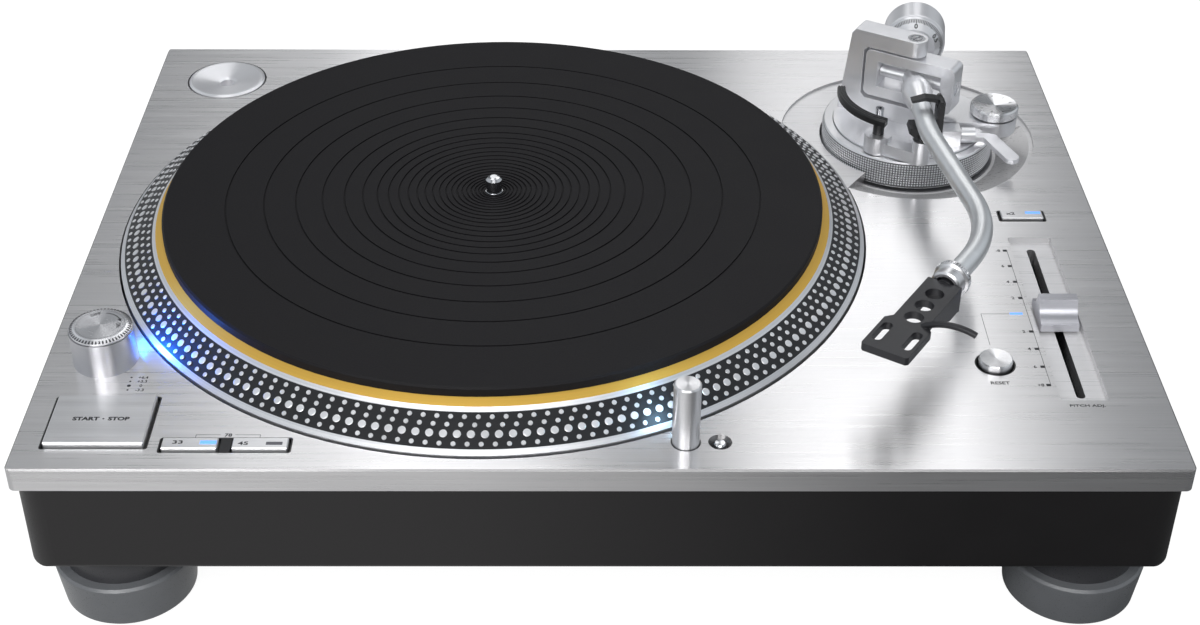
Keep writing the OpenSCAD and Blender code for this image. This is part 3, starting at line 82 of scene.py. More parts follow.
class Tree:
    """A node tree, with short calls for the nodes that are used here."""

    def __init__(self, tree):
        self.tree = tree

    def put(self, value, socket):
        if isinstance(value, bpy.types.NodeSocket):
            self.tree.links.new(value, socket)
        else:
            socket.default_value = value

    def node(self, kind, *values, **settings):
        n = self.tree.nodes.new(kind)
        for name, value in settings.items():
            setattr(n, name, value)
        for i, value in enumerate(values):
            if value is not None:
                self.put(value, n.inputs[i])
        return n

    def math(self, op, a, b=None, c=None):
        return self.node("ShaderNodeMath", a, b, c, operation=op).outputs[0]

    def above(self, v, limit):
        return self.math("GREATER_THAN", v, limit)

    def below(self, v, limit):
        return self.math("LESS_THAN", v, limit)

    def both(self, a, b):
        return self.math("MULTIPLY", a, b)

    def vmath(self, op, a, b=None):
        n = self.node("ShaderNodeVectorMath", a, b, operation=op)
        return n.outputs["Value" if op in ("LENGTH", "DOT_PRODUCT") else "Vector"]

    def split(self, v):
        return self.node("ShaderNodeSeparateXYZ", v).outputs

    def join(self, x, y, z):
        return self.node("ShaderNodeCombineXYZ", x, y, z).outputs[0]

    def span(self, v, a, b, low, high):
        """v from a..b mapped to low..high, held at both ends."""
        return self.node("ShaderNodeMapRange", v, a, b, low, high).outputs[0]


class Paint(Tree):
    """The node tree of a new material."""

    def __init__(self, name):
        self.mat = bpy.data.materials.new(name)
        self.mat.use_nodes = True
        super().__init__(self.mat.node_tree)
        self.shader = self.tree.nodes["Principled BSDF"]
        coord = self.node("ShaderNodeTexCoord")
        self.place = coord.outputs["Object"]
        self.normal = coord.outputs["Normal"]

    def set(self, **values):
        for name, value in values.items():
            self.put(value, self.shader.inputs[name.replace("_", " ")])

    def stretch(self, sx, sy, sz):
        return self.vmath("MULTIPLY", self.place, (sx, sy, sz))

    def noise(self, v, scale=1.0, detail=2.0, rough=0.5):
        n = self.node("ShaderNodeTexNoise", v)
        n.inputs["Scale"].default_value = scale
        n.inputs["Detail"].default_value = detail
        n.inputs["Roughness"].default_value = rough
        return n.outputs[0]

    def mix(self, fac, a, b):
        """Colour a where fac is 0, b where it is 1; the numbers are the node's colour sockets."""
        n = self.node("ShaderNodeMix", fac, data_type="RGBA")
        self.put(a, n.inputs[6])
        self.put(b, n.inputs[7])
        return n.outputs[2]

    def bump(self, height, strength, distance):
        n = self.node("ShaderNodeBump")
        n.inputs["Strength"].default_value = strength
        n.inputs["Distance"].default_value = distance
        self.put(height, n.inputs["Height"])
        self.put(n.outputs[0], self.shader.inputs["Normal"])
        return n

    def lay(self, along):
        """Turns the gloss across a finish whose fine lines run along the given direction."""
        across = self.vmath("NORMALIZE", self.vmath("CROSS_PRODUCT", self.normal, along))
        turn = self.node("ShaderNodeVectorTransform", across, vector_type="VECTOR",
                         convert_from="OBJECT", convert_to="WORLD")
        self.put(turn.outputs[0], self.shader.inputs["Tangent"])


def brushed(name, colour, rough, aniso, depth=0.03, fine=1300.0, edge=1.0, side=1.0):
    """Metal with straight brush lines along X; a matt share stands for its finest scratches. edge and side
    darken its sloping edges and its upright faces as painted shade."""
    hair_share, top_metal, floor_matt, wall_matt = 0.75, 0.86, 0.55, 0.8
    p = Paint(name)
    hair = p.noise(p.stretch(14, fine, fine), 1.0, 3.0, 0.6)
    band = p.noise(p.stretch(5, fine / 6, fine / 6), 1.0, 3.0, 0.6)
    streak = p.math("MULTIPLY_ADD", hair, hair_share, p.math("MULTIPLY", band, 1 - hair_share))
    upward = p.split(p.normal)[2]
    at = p.split(p.place)
    floor = p.both(p.above(upward, 0.9), p.below(at[2], (PLATE_Z - SUNK_BY) * MM))
    wall = p.both(p.below(upward, 0.5), p.above(at[2], (PLATE_Z - RECESS_DEEP) * MM))
    for i, reach in enumerate(RECESS_REACH):
        off = p.math("ABSOLUTE", p.math("SUBTRACT", at[i], FADER[i] * MM))
        wall = p.both(wall, p.below(off, reach * MM))
    matt = p.math("MULTIPLY_ADD", floor, floor_matt, p.math("MULTIPLY", wall, wall_matt))
    p.set(Metallic=p.math("SUBTRACT", p.span(upward, 0.2, 0.8, 1.0, top_metal), matt), Anisotropic=aniso,
          Roughness=p.span(streak, 0.3, 0.7, rough - 0.04, rough + 0.06))
    # painted shade: sloping edges darken to edge, and upright faces to side, of the metal's colour
    painted_shade = p.math("MAXIMUM", p.span(upward, 0.88, 0.96, edge, 1.0), p.span(upward, 0.2, 0.3, side, 0.0))
    metal = p.mix(p.span(streak, 0.32, 0.68, 0, 1), scaled(colour, 0.94), scaled(colour, 1.03))
    p.set(Base_Color=p.mix(painted_shade, (0, 0, 0, 1), metal))
    p.bump(streak, depth, 0.0001)
    p.lay((1.0, 0.001, 0.0))
    return p.mat


def turned(name, colour, rough, centre, axis=(0, 0, 1), aniso=0.7, depth=0.08, fine=1500.0, vary=1.0,
           matt=0.0, shade=None):
    """Metal turned on a lathe about an axis through centre: its lines run round the axis. shade gives a radius
    and two rises: the metal outside it, between them, is painted dark as the shade in the grooves of a knurl."""
    painted_shade_tone = 0.22
    p = Paint(name)
    from_axis = p.vmath("SUBTRACT", p.place, tuple(c * MM for c in centre))
    round_it = p.vmath("CROSS_PRODUCT", axis, from_axis)
    reach = p.vmath("LENGTH", round_it)
    along = p.vmath("DOT_PRODUCT", from_axis, axis)
    unit = p.split(p.vmath("NORMALIZE", round_it))
    lines = p.join(p.math("MULTIPLY_ADD", reach, fine, unit[0]),
                   p.math("MULTIPLY_ADD", along, fine, unit[1]), unit[2])
    ring = p.noise(lines, 1.0, 3.0, 0.65)
    metal = p.mix(p.span(ring, 0.32, 0.68, 0, 1), scaled(colour, 1 - 0.09 * vary),
                  scaled(colour, 1 + 0.05 * vary))
    # painted shade: the metal between the knurl's pyramids is darkened, as shade in its grooves
    if shade:
        low, high = ((PLATE_Z + rise) * MM for rise in shade[1:])
        painted_groove_shade = p.both(p.both(p.above(along, low), p.below(along, high)), p.above(reach, shade[0] * MM))
        metal = p.mix(painted_groove_shade, metal, scaled(colour, painted_shade_tone))
    p.set(Metallic=1.0 - matt, Anisotropic=aniso, Base_Color=metal,
          Roughness=p.span(ring, 0.3, 0.7, rough - 0.05 * vary, rough + 0.07 * vary))
    p.bump(ring, depth, 0.0001)
    p.lay(round_it)
    return p.mat


def blasted(name, colour, rough, depth=0.10, metallic=1.0, grain=2600.0, edge=0.0, **more):
    """A fine, even grain: bead-blasted metal, moulded plastic or rubber. Sharp edges shade as if broken
    by edge."""
    p = Paint(name)
    fine = p.noise(p.place, grain, 2.0, 0.6)
    cloud = p.noise(p.place, 45.0, 3.0, 0.55)
    p.set(Metallic=metallic,
          Base_Color=p.mix(p.span(cloud, 0.3, 0.7, 0, 1), scaled(colour, 0.93), scaled(colour, 1.06)),
          Roughness=p.math("ADD", p.span(fine, 0.3, 0.7, rough - 0.06, rough + 0.06),
                           p.span(cloud, 0.3, 0.7, -0.03, 0.03)), **more)
    bump = p.bump(fine, depth, 0.0002)
    if edge:
        soft = p.node("ShaderNodeBevel", edge * MM, samples=6)
        p.put(soft.outputs[0], bump.inputs["Normal"])
    return p.mat


def polished(name, colour, rough):
    """Polished metal with faint wiping marks."""
    p = Paint(name)
    wipe = p.noise(p.stretch(260, 40, 90), 1.0, 4.0, 0.65)
    p.set(Metallic=1.0, Base_Color=p.mix(wipe, scaled(colour, 0.95), scaled(colour, 1.04)),
          Roughness=p.span(wipe, 0.3, 0.75, rough - 0.04, rough + 0.08))
    p.bump(wipe, 0.02, 0.0001)
    return p.mat


def glowing(name, colour, strength):
    """A lit window: brighter in the middle of its cloud, so that it reads as a lamp behind plastic."""
    p = Paint(name)
    cloud = p.noise(p.place, 420.0, 2.0, 0.5)
    p.set(Base_Color=colour, Roughness=0.3, Emission_Strength=strength,
          Emission_Color=p.mix(p.span(cloud, 0.35, 0.65, 0, 1), colour, scaled(colour, 1.15)))
    return p.mat


def platter_paint():
    """Turned aluminium, with a black sloping band between the two bright edges."""
    fine = 1500.0
    p = Paint("platter_metal")
    from_axis = p.vmath("SUBTRACT", p.place, (SPINDLE[0] * MM, SPINDLE[1] * MM, 0))
    round_it = p.vmath("CROSS_PRODUCT", (0, 0, 1), from_axis)
    reach = p.vmath("LENGTH", round_it)
    height = p.split(p.place)[2]
    in_band = p.both(p.above(reach, BAND_BLACK[0] * MM), p.below(reach, BAND_BLACK[1] * MM))
    in_band = p.both(in_band, p.above(height, (PLATE_Z + BAND_BLACK_RISE) * MM))
    lines = p.join(p.math("MULTIPLY", reach, fine), p.math("MULTIPLY", height, fine), 0.0)
    ring = p.noise(lines, 1.0, 3.0)
    metal = p.mix(p.span(ring, 0.32, 0.68, 0, 1), srgb(222, 223, 226), srgb(238, 238, 240))
    grain = p.noise(p.place, 2200.0, 2.0)
    black = p.mix(p.span(grain, 0.3, 0.7, 0, 1), srgb(15, 16, 19), srgb(24, 25, 29))
    p.set(Base_Color=p.mix(in_band, metal, black), Metallic=p.math("SUBTRACT", 1.0, in_band),
          Roughness=p.math("MULTIPLY_ADD", in_band, 0.04, p.span(ring, 0.3, 0.7, 0.34, 0.42)))
    p.bump(p.math("MULTIPLY_ADD", ring, 0.5, p.math("MULTIPLY", grain, 0.5)), 0.06, 0.0001)
    p.lay(round_it)
    return p.mat


def foot_paint():
    """Moulded foot: the cup in grey, the neck above it darker."""
    p = Paint("foot_rubber")
    fine = p.noise(p.place, 1800.0, 2.0, 0.6)
    cloud = p.noise(p.place, 45.0, 3.0, 0.55)
    neck = p.above(p.split(p.place)[2], NECK_Z * MM)
    cup = p.mix(p.span(cloud, 0.3, 0.7, 0, 1), srgb(104, 106, 109), srgb(114, 116, 119))
    p.set(Base_Color=p.mix(neck, cup, srgb(58, 58, 61)), Roughness=p.span(fine, 0.3, 0.7, 0.26, 0.38))
    p.bump(fine, 0.08, 0.0002)
    return p.mat


# Lines of faces that are spun on a lathe, and of the knurled ring and the plate above it
SPUN = {"depth": 0.006, "fine": 3000.0, "vary": 0.35}
RINGED = {"aniso": 0.4, "depth": 0.01, "fine": 3000.0, "vary": 0.4}
ARM_AXIS_Z = PLATE_Z + ARM_RISE

paints = {
    # the plate's edge and side values paint shade on its chamfers and upright faces
    "plate": brushed("brushed_plate", srgb(226, 225, 226), 0.29, 0.94, edge=0.36, side=0.86),
    "button": brushed("brushed_button", srgb(226, 226, 228), 0.32, 0.90, 0.04, 1500.0),
    "fader": brushed("brushed_fader", srgb(196, 196, 202), 0.30, 0.50, 0.03, 1600.0),
    "cast": blasted("cast_alloy", srgb(150, 150, 153), 0.5),
    "satin": blasted("satin_alloy", srgb(234, 234, 237), 0.40, 0.06, 0.75, edge=0.5),
    "hub": blasted("hub_alloy", srgb(236, 236, 238), 0.36, 0.05, 0.85),
    "tube": blasted("satin_tube", srgb(236, 238, 240), 0.44, 0.05),
    "bright": polished("bright_metal", srgb(226, 226, 228), 0.14),
    "steel": polished("steel", srgb(200, 201, 204), 0.18),
    "base": blasted("base_lacquer", srgb(21, 19, 20), 0.42, 0.10, 0.0, 1400.0),
    "rubber": blasted("mat_rubber", srgb(27, 26, 28), 0.55, 0.16, 0.0, 1500.0, Specular_IOR_Level=0.14),
    "black": blasted("black_plastic", srgb(24, 24, 26), 0.36, 0.06, 0.0),
    "shell": blasted("shell_alloy", srgb(42, 42, 45), 0.40, 0.08, 0.2, edge=0.35),
    "gold": polished("gold_plate", srgb(226, 178, 90), 0.2),
    "copper": blasted("copper_wire", srgb(190, 110, 70), 0.4, 0.2, 1.0, 900.0),
    "board": blasted("board_green", srgb(30, 82, 52), 0.45, 0.1, 0.0, 700.0),
    # dark grey of the knob's notches is painted shade in its serrations
    "notch": blasted("notch_painted_shade", srgb(66, 66, 70), 0.5, 0.05, 0.4),
    "ink": blasted("legend_ink", srgb(34, 34, 38), 0.55, 0.05, 0.0),
    "brass": turned("brass_edge", srgb(224, 180, 80), 0.46, (*SPINDLE, 0), aniso=0.3, depth=0.02, vary=0.6,
                    matt=0.45),
    "knob": turned("spun_knob", srgb(230, 230, 233), 0.25, (*POWER, 0), aniso=0.92, matt=0.2, **SPUN),
    "housing": turned("turned_housing", srgb(204, 204, 208), 0.33, (*POWER, 0), aniso=0.9, depth=0.0,
                      fine=2000.0, vary=0.35),
    "adapter": turned("spun_adapter", srgb(234, 234, 237), 0.36, (*ADAPTER, 0), aniso=0.75, matt=0.35, **SPUN),
    "reset": turned("spun_reset", srgb(226, 226, 228), 0.25, (*RESET, 0), aniso=0.9, **SPUN),
    "lamp": turned("turned_lamp", srgb(228, 228, 230), 0.30, (*LAMP, 0), aniso=0.9, depth=0.0, fine=2000.0,
                   vary=0.25),
    "dial": turned("spun_dial", srgb(232, 232, 234), 0.25, (*DIAL, 0), aniso=0.92, **SPUN),
    "ring": turned("turned_ring", srgb(238, 238, 240), 0.32, (*PIVOT, 0), **RINGED),
    "weight": turned("turned_weight", srgb(236, 236, 239), 0.36, (*PIVOT, ARM_AXIS_Z), level(REAR_DIR),
                     depth=0.0, vary=0.3, matt=0.35),
    # the height ring's metal under its knurl carries painted shade
    "painted_groove_shade": turned("knurl_painted_shade", srgb(238, 238, 240), 0.32, (*PIVOT, 0), shade=(40.6, -6.2, 6.2), **RINGED),
    "collar": turned("turned_collar", srgb(232, 232, 234), 0.32, (*SHELL_FROM, ARM_AXIS_Z), level(SHELL_DIR),
                     aniso=0.4),
    "lens": glowing("lamp_window", srgb(205, 236, 255), 1.5),
    "strobe": glowing("strobe_window", srgb(120, 190, 255), 14.0),
    "led": glowing("led_blue", srgb(92, 148, 232), 1.0),
    "led_off": blasted("led_dark", srgb(92, 92, 98), 0.4, 0.03, 0.0),
    "dot": blasted("dot_alloy", srgb(244, 244, 246), 0.42, 0.05),
    "platter": platter_paint(),
    "foot": foot_paint(),
}

FINISH = {
    "plate": ["top_plate"],
    "button": ["start_button", "button_33", "button_45", "double_button"],
    "base": ["base_shell"],
    "foot": ["foot_front_left", "foot_front_right", "foot_back_left", "foot_back_right"],
    "cast": ["chassis", "arm_flange", "bearing_housing"],
    "platter": ["platter"],
    "brass": ["brass_plate"],
    "rubber": ["mat"],
    "steel": ["spindle", "rotor", "platter_screws", "base_screws", "arm_screws", "lamp_button"],
    "adapter": ["adapter_45"],
    "knob": ["power_knob"],
    "housing": ["strobe_housing"],
    "lens": ["lamp_lens"],
    "strobe": ["strobe_lens"],
    "black": ["start_tray", "speed_tray", "double_tray", "reset_cup", "lamp_sleeve", "fader_track",
              "fader_carriage", "lift_bar", "arm_rest", "rest_clip", "terminal_panel", "power_inlet"],
    "reset": ["reset_button"],
    "lamp": ["stylus_lamp"],
    "bright": ["gimbal_screws"],
    "fader": ["fader_knob"],
    "hub": ["arm_axle"],
    "collar": ["lock_collar"],
    "ring": ["arm_base_plate"],
    "painted_groove_shade": ["height_ring"],
    "satin": ["yoke", "gimbal_frame", "cue_lever"],
    "dial": ["antiskate_dial"],
    "tube": ["arm_tube"],
    "shell": ["headshell"],
    "weight": ["counterweight", "pressure_dial"],
    "copper": ["motor_stator"],
    "board": ["control_board", "power_supply"],
    "gold": ["phono_jacks", "ground_post"],
}
for finish, names in FINISH.items():
    for name in names:
        for holder in nodes[name].material_slots:
            holder.material = paints[finish]


class Solid:
    """Gathers closed shapes of one finish into one mesh, in millimetres."""

    def __init__(self):
        self.verts, self.faces = [], []

    def add(self, verts, faces, place):
        n = len(self.verts)
        self.verts += [place @ Vector(v) for v in verts]
        self.faces += [[n + i for i in f] for f in faces]

    def loft(self, rings, place):
        """Closed skin through rings of equal length, the first at the bottom."""
        k = len(rings[0])
        faces = [list(range(k))[::-1], [(len(rings) - 1) * k + i for i in range(k)]]
        for r in range(len(rings) - 1):
            for i in range(k):
                j = (i + 1) % k
                faces.append([r * k + i, r * k + j, (r + 1) * k + j, (r + 1) * k + i])
        self.add([v for ring in rings for v in ring], faces, place)

    def bar(self, x0, y0, x1, y1, place, z=0.0, t=INK):
        """Flat bar from z up to z + t, with its upper edges taken off a little."""
        e = min(0.25 * t, 0.05)

        def rect(d, h):
            return [(x0 + d, y0 + d, h), (x1 - d, y0 + d, h), (x1 - d, y1 - d, h), (x0 + d, y1 - d, h)]
        self.loft([rect(0, z), rect(0, z + t - e), rect(e, z + t)], place)

    def disc(self, r, place, sides=12, z=0.0, t=INK):
        """Flat disc from z up to z + t, with its upper edge sloped."""
        def ring(k, h):
            return [(k * math.cos(a), k * math.sin(a), h) for a in
                    (2 * math.pi * i / sides for i in range(sides))]
        self.loft([ring(r, z), ring(r, z + 0.7 * t), ring(r * 0.86, z + t)], place)

    def text(self, words, x, y, height, place, width=None, turn=0.0, bold=0.02, z=0.0, t=INK):
        """Words centred on x, y: letters of the given height, fitted to a width if one is given."""
        curve = bpy.data.curves.new("words", "FONT")
        curve.body = words
        curve.extrude = 0.5
        curve.offset = bold
        curve.resolution_u = 3
        holder = bpy.data.objects.new("words", curve)
        scene.collection.objects.link(holder)
        bpy.context.view_layer.update()
        graph = bpy.context.evaluated_depsgraph_get()
        shape = bpy.data.meshes.new_from_object(holder.evaluated_get(graph))
        pts = [v.co.copy() for v in shape.vertices]
        faces = [list(f.vertices) for f in shape.polygons]
        bpy.data.objects.remove(holder)
        bpy.data.curves.remove(curve)
        bpy.data.meshes.remove(shape)
        low = [min(p[i] for p in pts) for i in range(3)]
        high = [max(p[i] for p in pts) for i in range(3)]
        ky = height / (high[1] - low[1])
        kx = width / (high[0] - low[0]) if width else ky
        move = (Matrix.Translation((x, y, z)) @ Matrix.Rotation(math.radians(turn), 4, "Z")
                @ Matrix.Diagonal((kx, ky, t / (high[2] - low[2]), 1))
                @ Matrix.Translation((-(low[0] + high[0]) / 2, -(low[1] + high[1]) / 2, -low[2])))
        self.add(pts, faces, place @ move)

    def piece(self, name, finish, body):
        mesh = bpy.data.meshes.new(name)
        mesh.from_pydata([v * MM for v in self.verts], [], self.faces)
        mesh.update()
        mesh.materials.append(paints[finish])
        obj = bpy.data.objects.new(name, mesh)
        scene.collection.objects.link(obj)
        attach(obj, body)
        return obj


def on_plate(x, y, rise=0.0):
    return Matrix.Translation((x, y, PLATE_Z + rise))


def turned_by(degrees):
    return Matrix.Rotation(math.radians(degrees), 4, "Z")


def axis_frame(origin, direction):
    """Frame whose Z runs along a level direction, in degrees from +X; its X points up."""
    z = Vector(level(direction))
    x = Vector((0, 0, 1))
    return Matrix.Translation(origin) @ Matrix((x, z.cross(x), z)).transposed().to_4x4()


def knurl(name, finish, body, place, r, low, high, columns, rows, proud, fill, top):
    """Grid of small pyramids round a cylinder of radius r. fill and top give the share of the grid that a
    pyramid's foot and its flat top take."""
    rooted = 0.06  # how far a foot reaches into the cylinder
    solid = Solid()
    step_a, step_h = 2 * math.pi / columns, (high - low) / rows
    for i in range(columns):
        a = i * step_a
        out = Vector((math.cos(a), math.sin(a), 0))
        side = Vector((-math.sin(a), math.cos(a), 0))
        for j in range(rows):
            mid = low + (j + 0.5) * step_h
            rings = []
            for reach, share in ((r - rooted, fill), (r + proud, top)):
                w, h = share * step_a * r / 2, share * step_h / 2
                rings.append([out * reach + side * s * w + Vector((0, 0, mid + q * h))
                              for s, q in ((-1, -1), (1, -1), (1, 1), (-1, 1))])
            solid.loft(rings, place)
    solid.piece(name, finish, body)


def strobe_dots():
    """Four rings of raised dots on the platter's sloping band: the share of the way up the band, the radius
    of a dot and the count of each ring."""
    rings = ((0.143, 1.0, 189), (0.403, 1.6, 186), (0.648, 1.0, 183), (0.86, 1.0, 180))
    run, climb = BAND_HIGH[0] - BAND_LOW[0], BAND_HIGH[1] - BAND_LOW[1]
    slope = Vector((run, climb)).normalized()
    dots = Solid()
    for share, size, count in rings:
        r = BAND_LOW[0] + share * run
        z = BAND_LOW[1] + share * climb
        for i in range(count):
            a = 2 * math.pi * i / count
            c, s = math.cos(a), math.sin(a)
            out = Vector((slope.y * c, slope.y * s, -slope.x))
            up = Vector((slope.x * c, slope.x * s, slope.y))
            face = Matrix((up.cross(out), up, out)).transposed().to_4x4()
            place = on_plate(SPINDLE[0] + r * c, SPINDLE[1] + r * s, z) @ face
            dots.disc(size, place, 14 if size > 1.2 else 12, -0.05, 0.4)
    dots.piece("strobe_dots", "dot", "platter")


def plate_legend():
    """What is printed on the plate: the pitch scale, names of controls and the strobe's four readings."""
    scale_y, scale_step, reading_x = -20.8, 12.375, -189.2
    legend = Solid()
    top = on_plate(0, 0, -BEDDED)
    for i, label in enumerate(("-8", "6", "4", "2", "", "2", "4", "6", "+8")):
        y = scale_y - scale_step * i
        if label:
            legend.bar(179.2, y - 0.8, 181.0, y + 0.8, top)
            legend.text(label, 177.0, y, 1.9, top)
    legend.bar(180.9, -120.2, 181.1, -20.4, top)
    legend.bar(161.1, -69.95, 173.3, -69.75, top)
    legend.bar(161.1, -92.3, 161.3, -69.75, top)
    legend.text("RESET", 160.9, -118.4, 2.0, top, 7.7)
    legend.text("PITCH ADJ.", 193.0, -133.5, 2.0, top, 14.2)
    legend.text("78", -144.4, -152.3, 2.0, top, 2.9)
    for x0, x1, drop in ((-157.0, -147.5, -157.0), (-141.8, -131.9, -132.1)):
        legend.bar(x0, -152.2, x1, -152.0, top)
        legend.bar(drop, -153.9, drop + 0.2, -152.0, top)
    for y, r, label in ((-115.2, 0.45, "+6.4"), (-117.8, 0.45, "+3.3"), (-120.7, 0.8, "0"),
                        (-123.5, 0.45, "-3.3")):
        legend.disc(r, top @ Matrix.Translation((reading_x, y, 0)))
        legend.text(label, -184.4, y, 1.7, top)
    legend.piece("legend_plate", "ink", "plinth")


def button_legends():
    """Words on the buttons, then the lamps in them and the one beside the pitch scale."""
    start_rise, key_rise, words_y, bold = 2.0, 1.2, -144.6, 0.045
    words = Solid()
    top = on_plate(0, 0, start_rise - BEDDED)
    words.text("START", -200.9, words_y, 2.3, top, 10.4, 0, bold)
    words.disc(0.42, top @ Matrix.Translation((-194.1, words_y, 0)))
    words.text("STOP", -188.1, words_y, 2.3, top, 8.4, 0, bold)
    words.piece("legend_start", "ink", "start")
    for label, x, y, body in (("33", -162.9, -158.1, "speed_33"), ("45", -137.7, -158.8, "speed_45"),
                              ("x2", 187.7, 8.6, "pitch_range")):
        words = Solid()
        words.text(label, x, y, 2.1, on_plate(0, 0, key_rise - BEDDED), 4.0)
        words.piece("legend_" + body, "ink", body)
    for name, x, y, w, d, finish, body, rise in (
            ("led_33", -151.1, -158.3, 6.3, 1.9, "led", "speed_33", key_rise),
            ("led_45", -125.7, -158.9, 6.3, 1.7, "led_off", "speed_45", key_rise),
            ("led_x2", 198.0, 9.2, 6.8, 1.5, "led", "pitch_range", key_rise),
            ("led_zero", 176.2, -69.7, 5.4, 1.2, "led", "plinth", 0.0)):
        lamp = Solid()
        lamp.bar(x - w / 2, y - d / 2, x + w / 2, y + d / 2, on_plate(0, 0, rise), -0.05, 0.25)
        lamp.piece(name, finish, body)


def knob_trim():
    """Notches round the power knob's bevel, dark as painted shade in its serrations, and its legend with a
    curved arrow.
    """
    notches, top_rise = 54, 17.3
    # Radius, half width and rise of a notch's inner and outer end, at its bottom and its top
    ends = (((9.4, 0.28, 16.9), (12.5, 0.42, 16.1)), ((9.6, 0.22, 17.36), (12.45, 0.34, 16.6)))
    notch = Solid()
    for i in range(notches):
        notch.loft([[(r0, -w0, z0), (r1, -w1, z1), (r1, w1, z1), (r0, w0, z0)]
                    for (r0, w0, z0), (r1, w1, z1) in ends], on_plate(*POWER) @ turned_by(360 * i / notches))
    notch.piece("knob_notches", "notch", "power_switch")

    arc_from, arc_step, arc_parts, arc_in, arc_out = 84, 4.6, 12, 7.9, 8.25
    words = Solid()
    top = on_plate(0, 0, top_rise - BEDDED)
    middle = top @ Matrix.Translation((*POWER, 0))
    words.text("OFF", -205.3, -95.6, 1.9, top, 4.2, 22)
    words.text("ON", -194.6, -103.0, 1.9, top, 3.0, -78)
    for i in range(arc_parts):
        a0, a1 = (math.radians(arc_from - arc_step * k) for k in (i, i + 1))
        corners = ((arc_out, a0), (arc_out, a1), (arc_in, a1), (arc_in, a0))
        words.loft([[(r * math.cos(a), r * math.sin(a), h) for r, a in corners] for h in (0, INK)], middle)
    words.loft([[(8.08, -1.9, h), (8.9, 0.1, h), (7.25, 0.1, h)] for h in (0, INK)],
               middle @ turned_by(arc_from - arc_step * arc_parts))
    words.piece("legend_knob", "ink", "power_switch")


def dial_marks():
    """Ticks and numbers on the anti-skating dial."""
    ticks, tick_step, numbers, number_step, number_reach = 31, 8, 7, 40, 8.2
    marks = Solid()
    for i in range(ticks):
        marks.bar(9.4 if i % 5 == 0 else 9.8, -0.09, 10.3, 0.09,
                  on_plate(*DIAL, 20.16) @ turned_by(90 - tick_step * i))
    for i in range(numbers):
        a = math.radians(90 - number_step * i)
        marks.text(str(i), number_reach * math.cos(a), number_reach * math.sin(a), 1.5,
                   on_plate(*DIAL, 20.06), None, -number_step * i)
    marks.piece("dial_marks", "ink", "antiskate")


def pressure_marks():
    """Ticks and numbers on the cone of the dial in front of the counterweight."""
    cone_at, r_from, r_to, length = 30.7, 10.1, 14.1, 4.5
    ticks, labels = 100, ("0", "0.5", "1", "1.5", "2", "2.5")
    sunk = {"z": -0.03, "t": 0.09}
    rear = axis_frame((*PIVOT, ARM_AXIS_Z), REAR_DIR)
    lean = math.atan2(r_to - r_from, length)
    c, s = math.cos(lean), math.sin(lean)

    def on_cone(along, degrees):
        """Frame on the cone: Y runs towards the weight, Z away from the surface."""
        r = r_from + (r_to - r_from) * along / length
        face = Matrix(((0, 1, 0), (s, 0, c), (c, 0, -s))).transposed().to_4x4()
        return rear @ turned_by(degrees) @ Matrix.Translation((r, 0, cone_at + along)) @ face

    marks = Solid()
    for i in range(ticks):
        marks.bar(-0.2, -2.4 if i % 5 == 0 else -2.0, 0.2, 0, on_cone(length - 0.1, 360 / ticks * i), **sunk)
    for i, label in enumerate(labels):
        marks.text(label, 0, 0, 2.6, on_cone(1.5, 360 / len(labels) * i), bold=0.03, **sunk)
    marks.piece("pressure_marks", "ink", "pressure")


strobe_dots()
plate_legend()
button_legends()
knob_trim()
knurl("ring_knurl", "ring", "height_ring", on_plate(*PIVOT), 41.0, -5.6, 5.8, 200, 9, 0.30, 0.80, 0.3)
knurl("dial_knurl", "dial", "antiskate", on_plate(*DIAL), 11.2, 15.95, 19.4, 72, 4, 0.24, 0.84, 0.25)
dial_marks()
pressure_marks()
collar_from = [p - COLLAR_LENGTH * d for p, d in zip(SHELL_FROM, level(SHELL_DIR))]
knurl("collar_knurl", "bright", "collar", axis_frame((*collar_from, ARM_AXIS_Z), SHELL_DIR),
      7.6, 0.5, 3.1, 40, 1, 0.3, 0.7, 0.3)


# Floor, light and camera; lengths are in metres from here on
def floor_paint():
    """Pale floor that keeps the part's shadow. It is lifted to white where it is seen or mirrored,
    less to the right, where the front of the studio is dim."""
    seen_lift, mirror_lift = 0.95, 0.50
    p = Paint("floor_white")
    cloud = p.noise(p.place, 3.0, 2.0)
    p.set(Base_Color=p.mix(cloud, (0.14, 0.14, 0.14, 1), (0.15, 0.15, 0.15, 1)), Roughness=0.9,
          Emission_Color=(1, 1, 1, 1))
    ray = p.node("ShaderNodeLightPath").outputs
    mirrored = p.math("MAXIMUM", ray["Is Glossy Ray"], ray["Is Transmission Ray"])
    fade = p.span(p.split(p.place)[0], -0.06, 0.14, mirror_lift, 0.0)
    seen = p.math("MULTIPLY", ray["Is Camera Ray"], seen_lift)
    p.set(Emission_Strength=p.math("MULTIPLY_ADD", mirrored, fade, seen))
    return p.mat


FLOOR_HALF = 12
floor_mesh = bpy.data.meshes.new("floor")
floor_mesh.from_pydata([(x * FLOOR_HALF, y * FLOOR_HALF, 0) for x, y in ((-1, -1), (1, -1), (1, 1), (-1, 1))],
                       [], [(0, 1, 2, 3)])
floor_mesh.materials.append(floor_paint())
floor = bpy.data.objects.new("floor", floor_mesh)
scene.collection.objects.link(floor)

# The sky is brighter overhead and at both sides
world = bpy.data.worlds.new("studio")
scene.world = world
world.use_nodes = True
sky = Tree(world.node_tree)
background = world.node_tree.nodes["Background"]
toward = sky.split(sky.node("ShaderNodeTexCoord").outputs["Generated"])
dome = sky.span(toward[2], 0.0, 0.9, 0.05, 0.27)
wings = sky.span(sky.math("ABSOLUTE", toward[0]), 0.38, 0.72, 0.0, 0.5)
sky.put(sky.math("ADD", dome, wings), background.inputs["Strength"])
sky.put((0.90, 0.95, 1.0, 1), background.inputs["Color"])


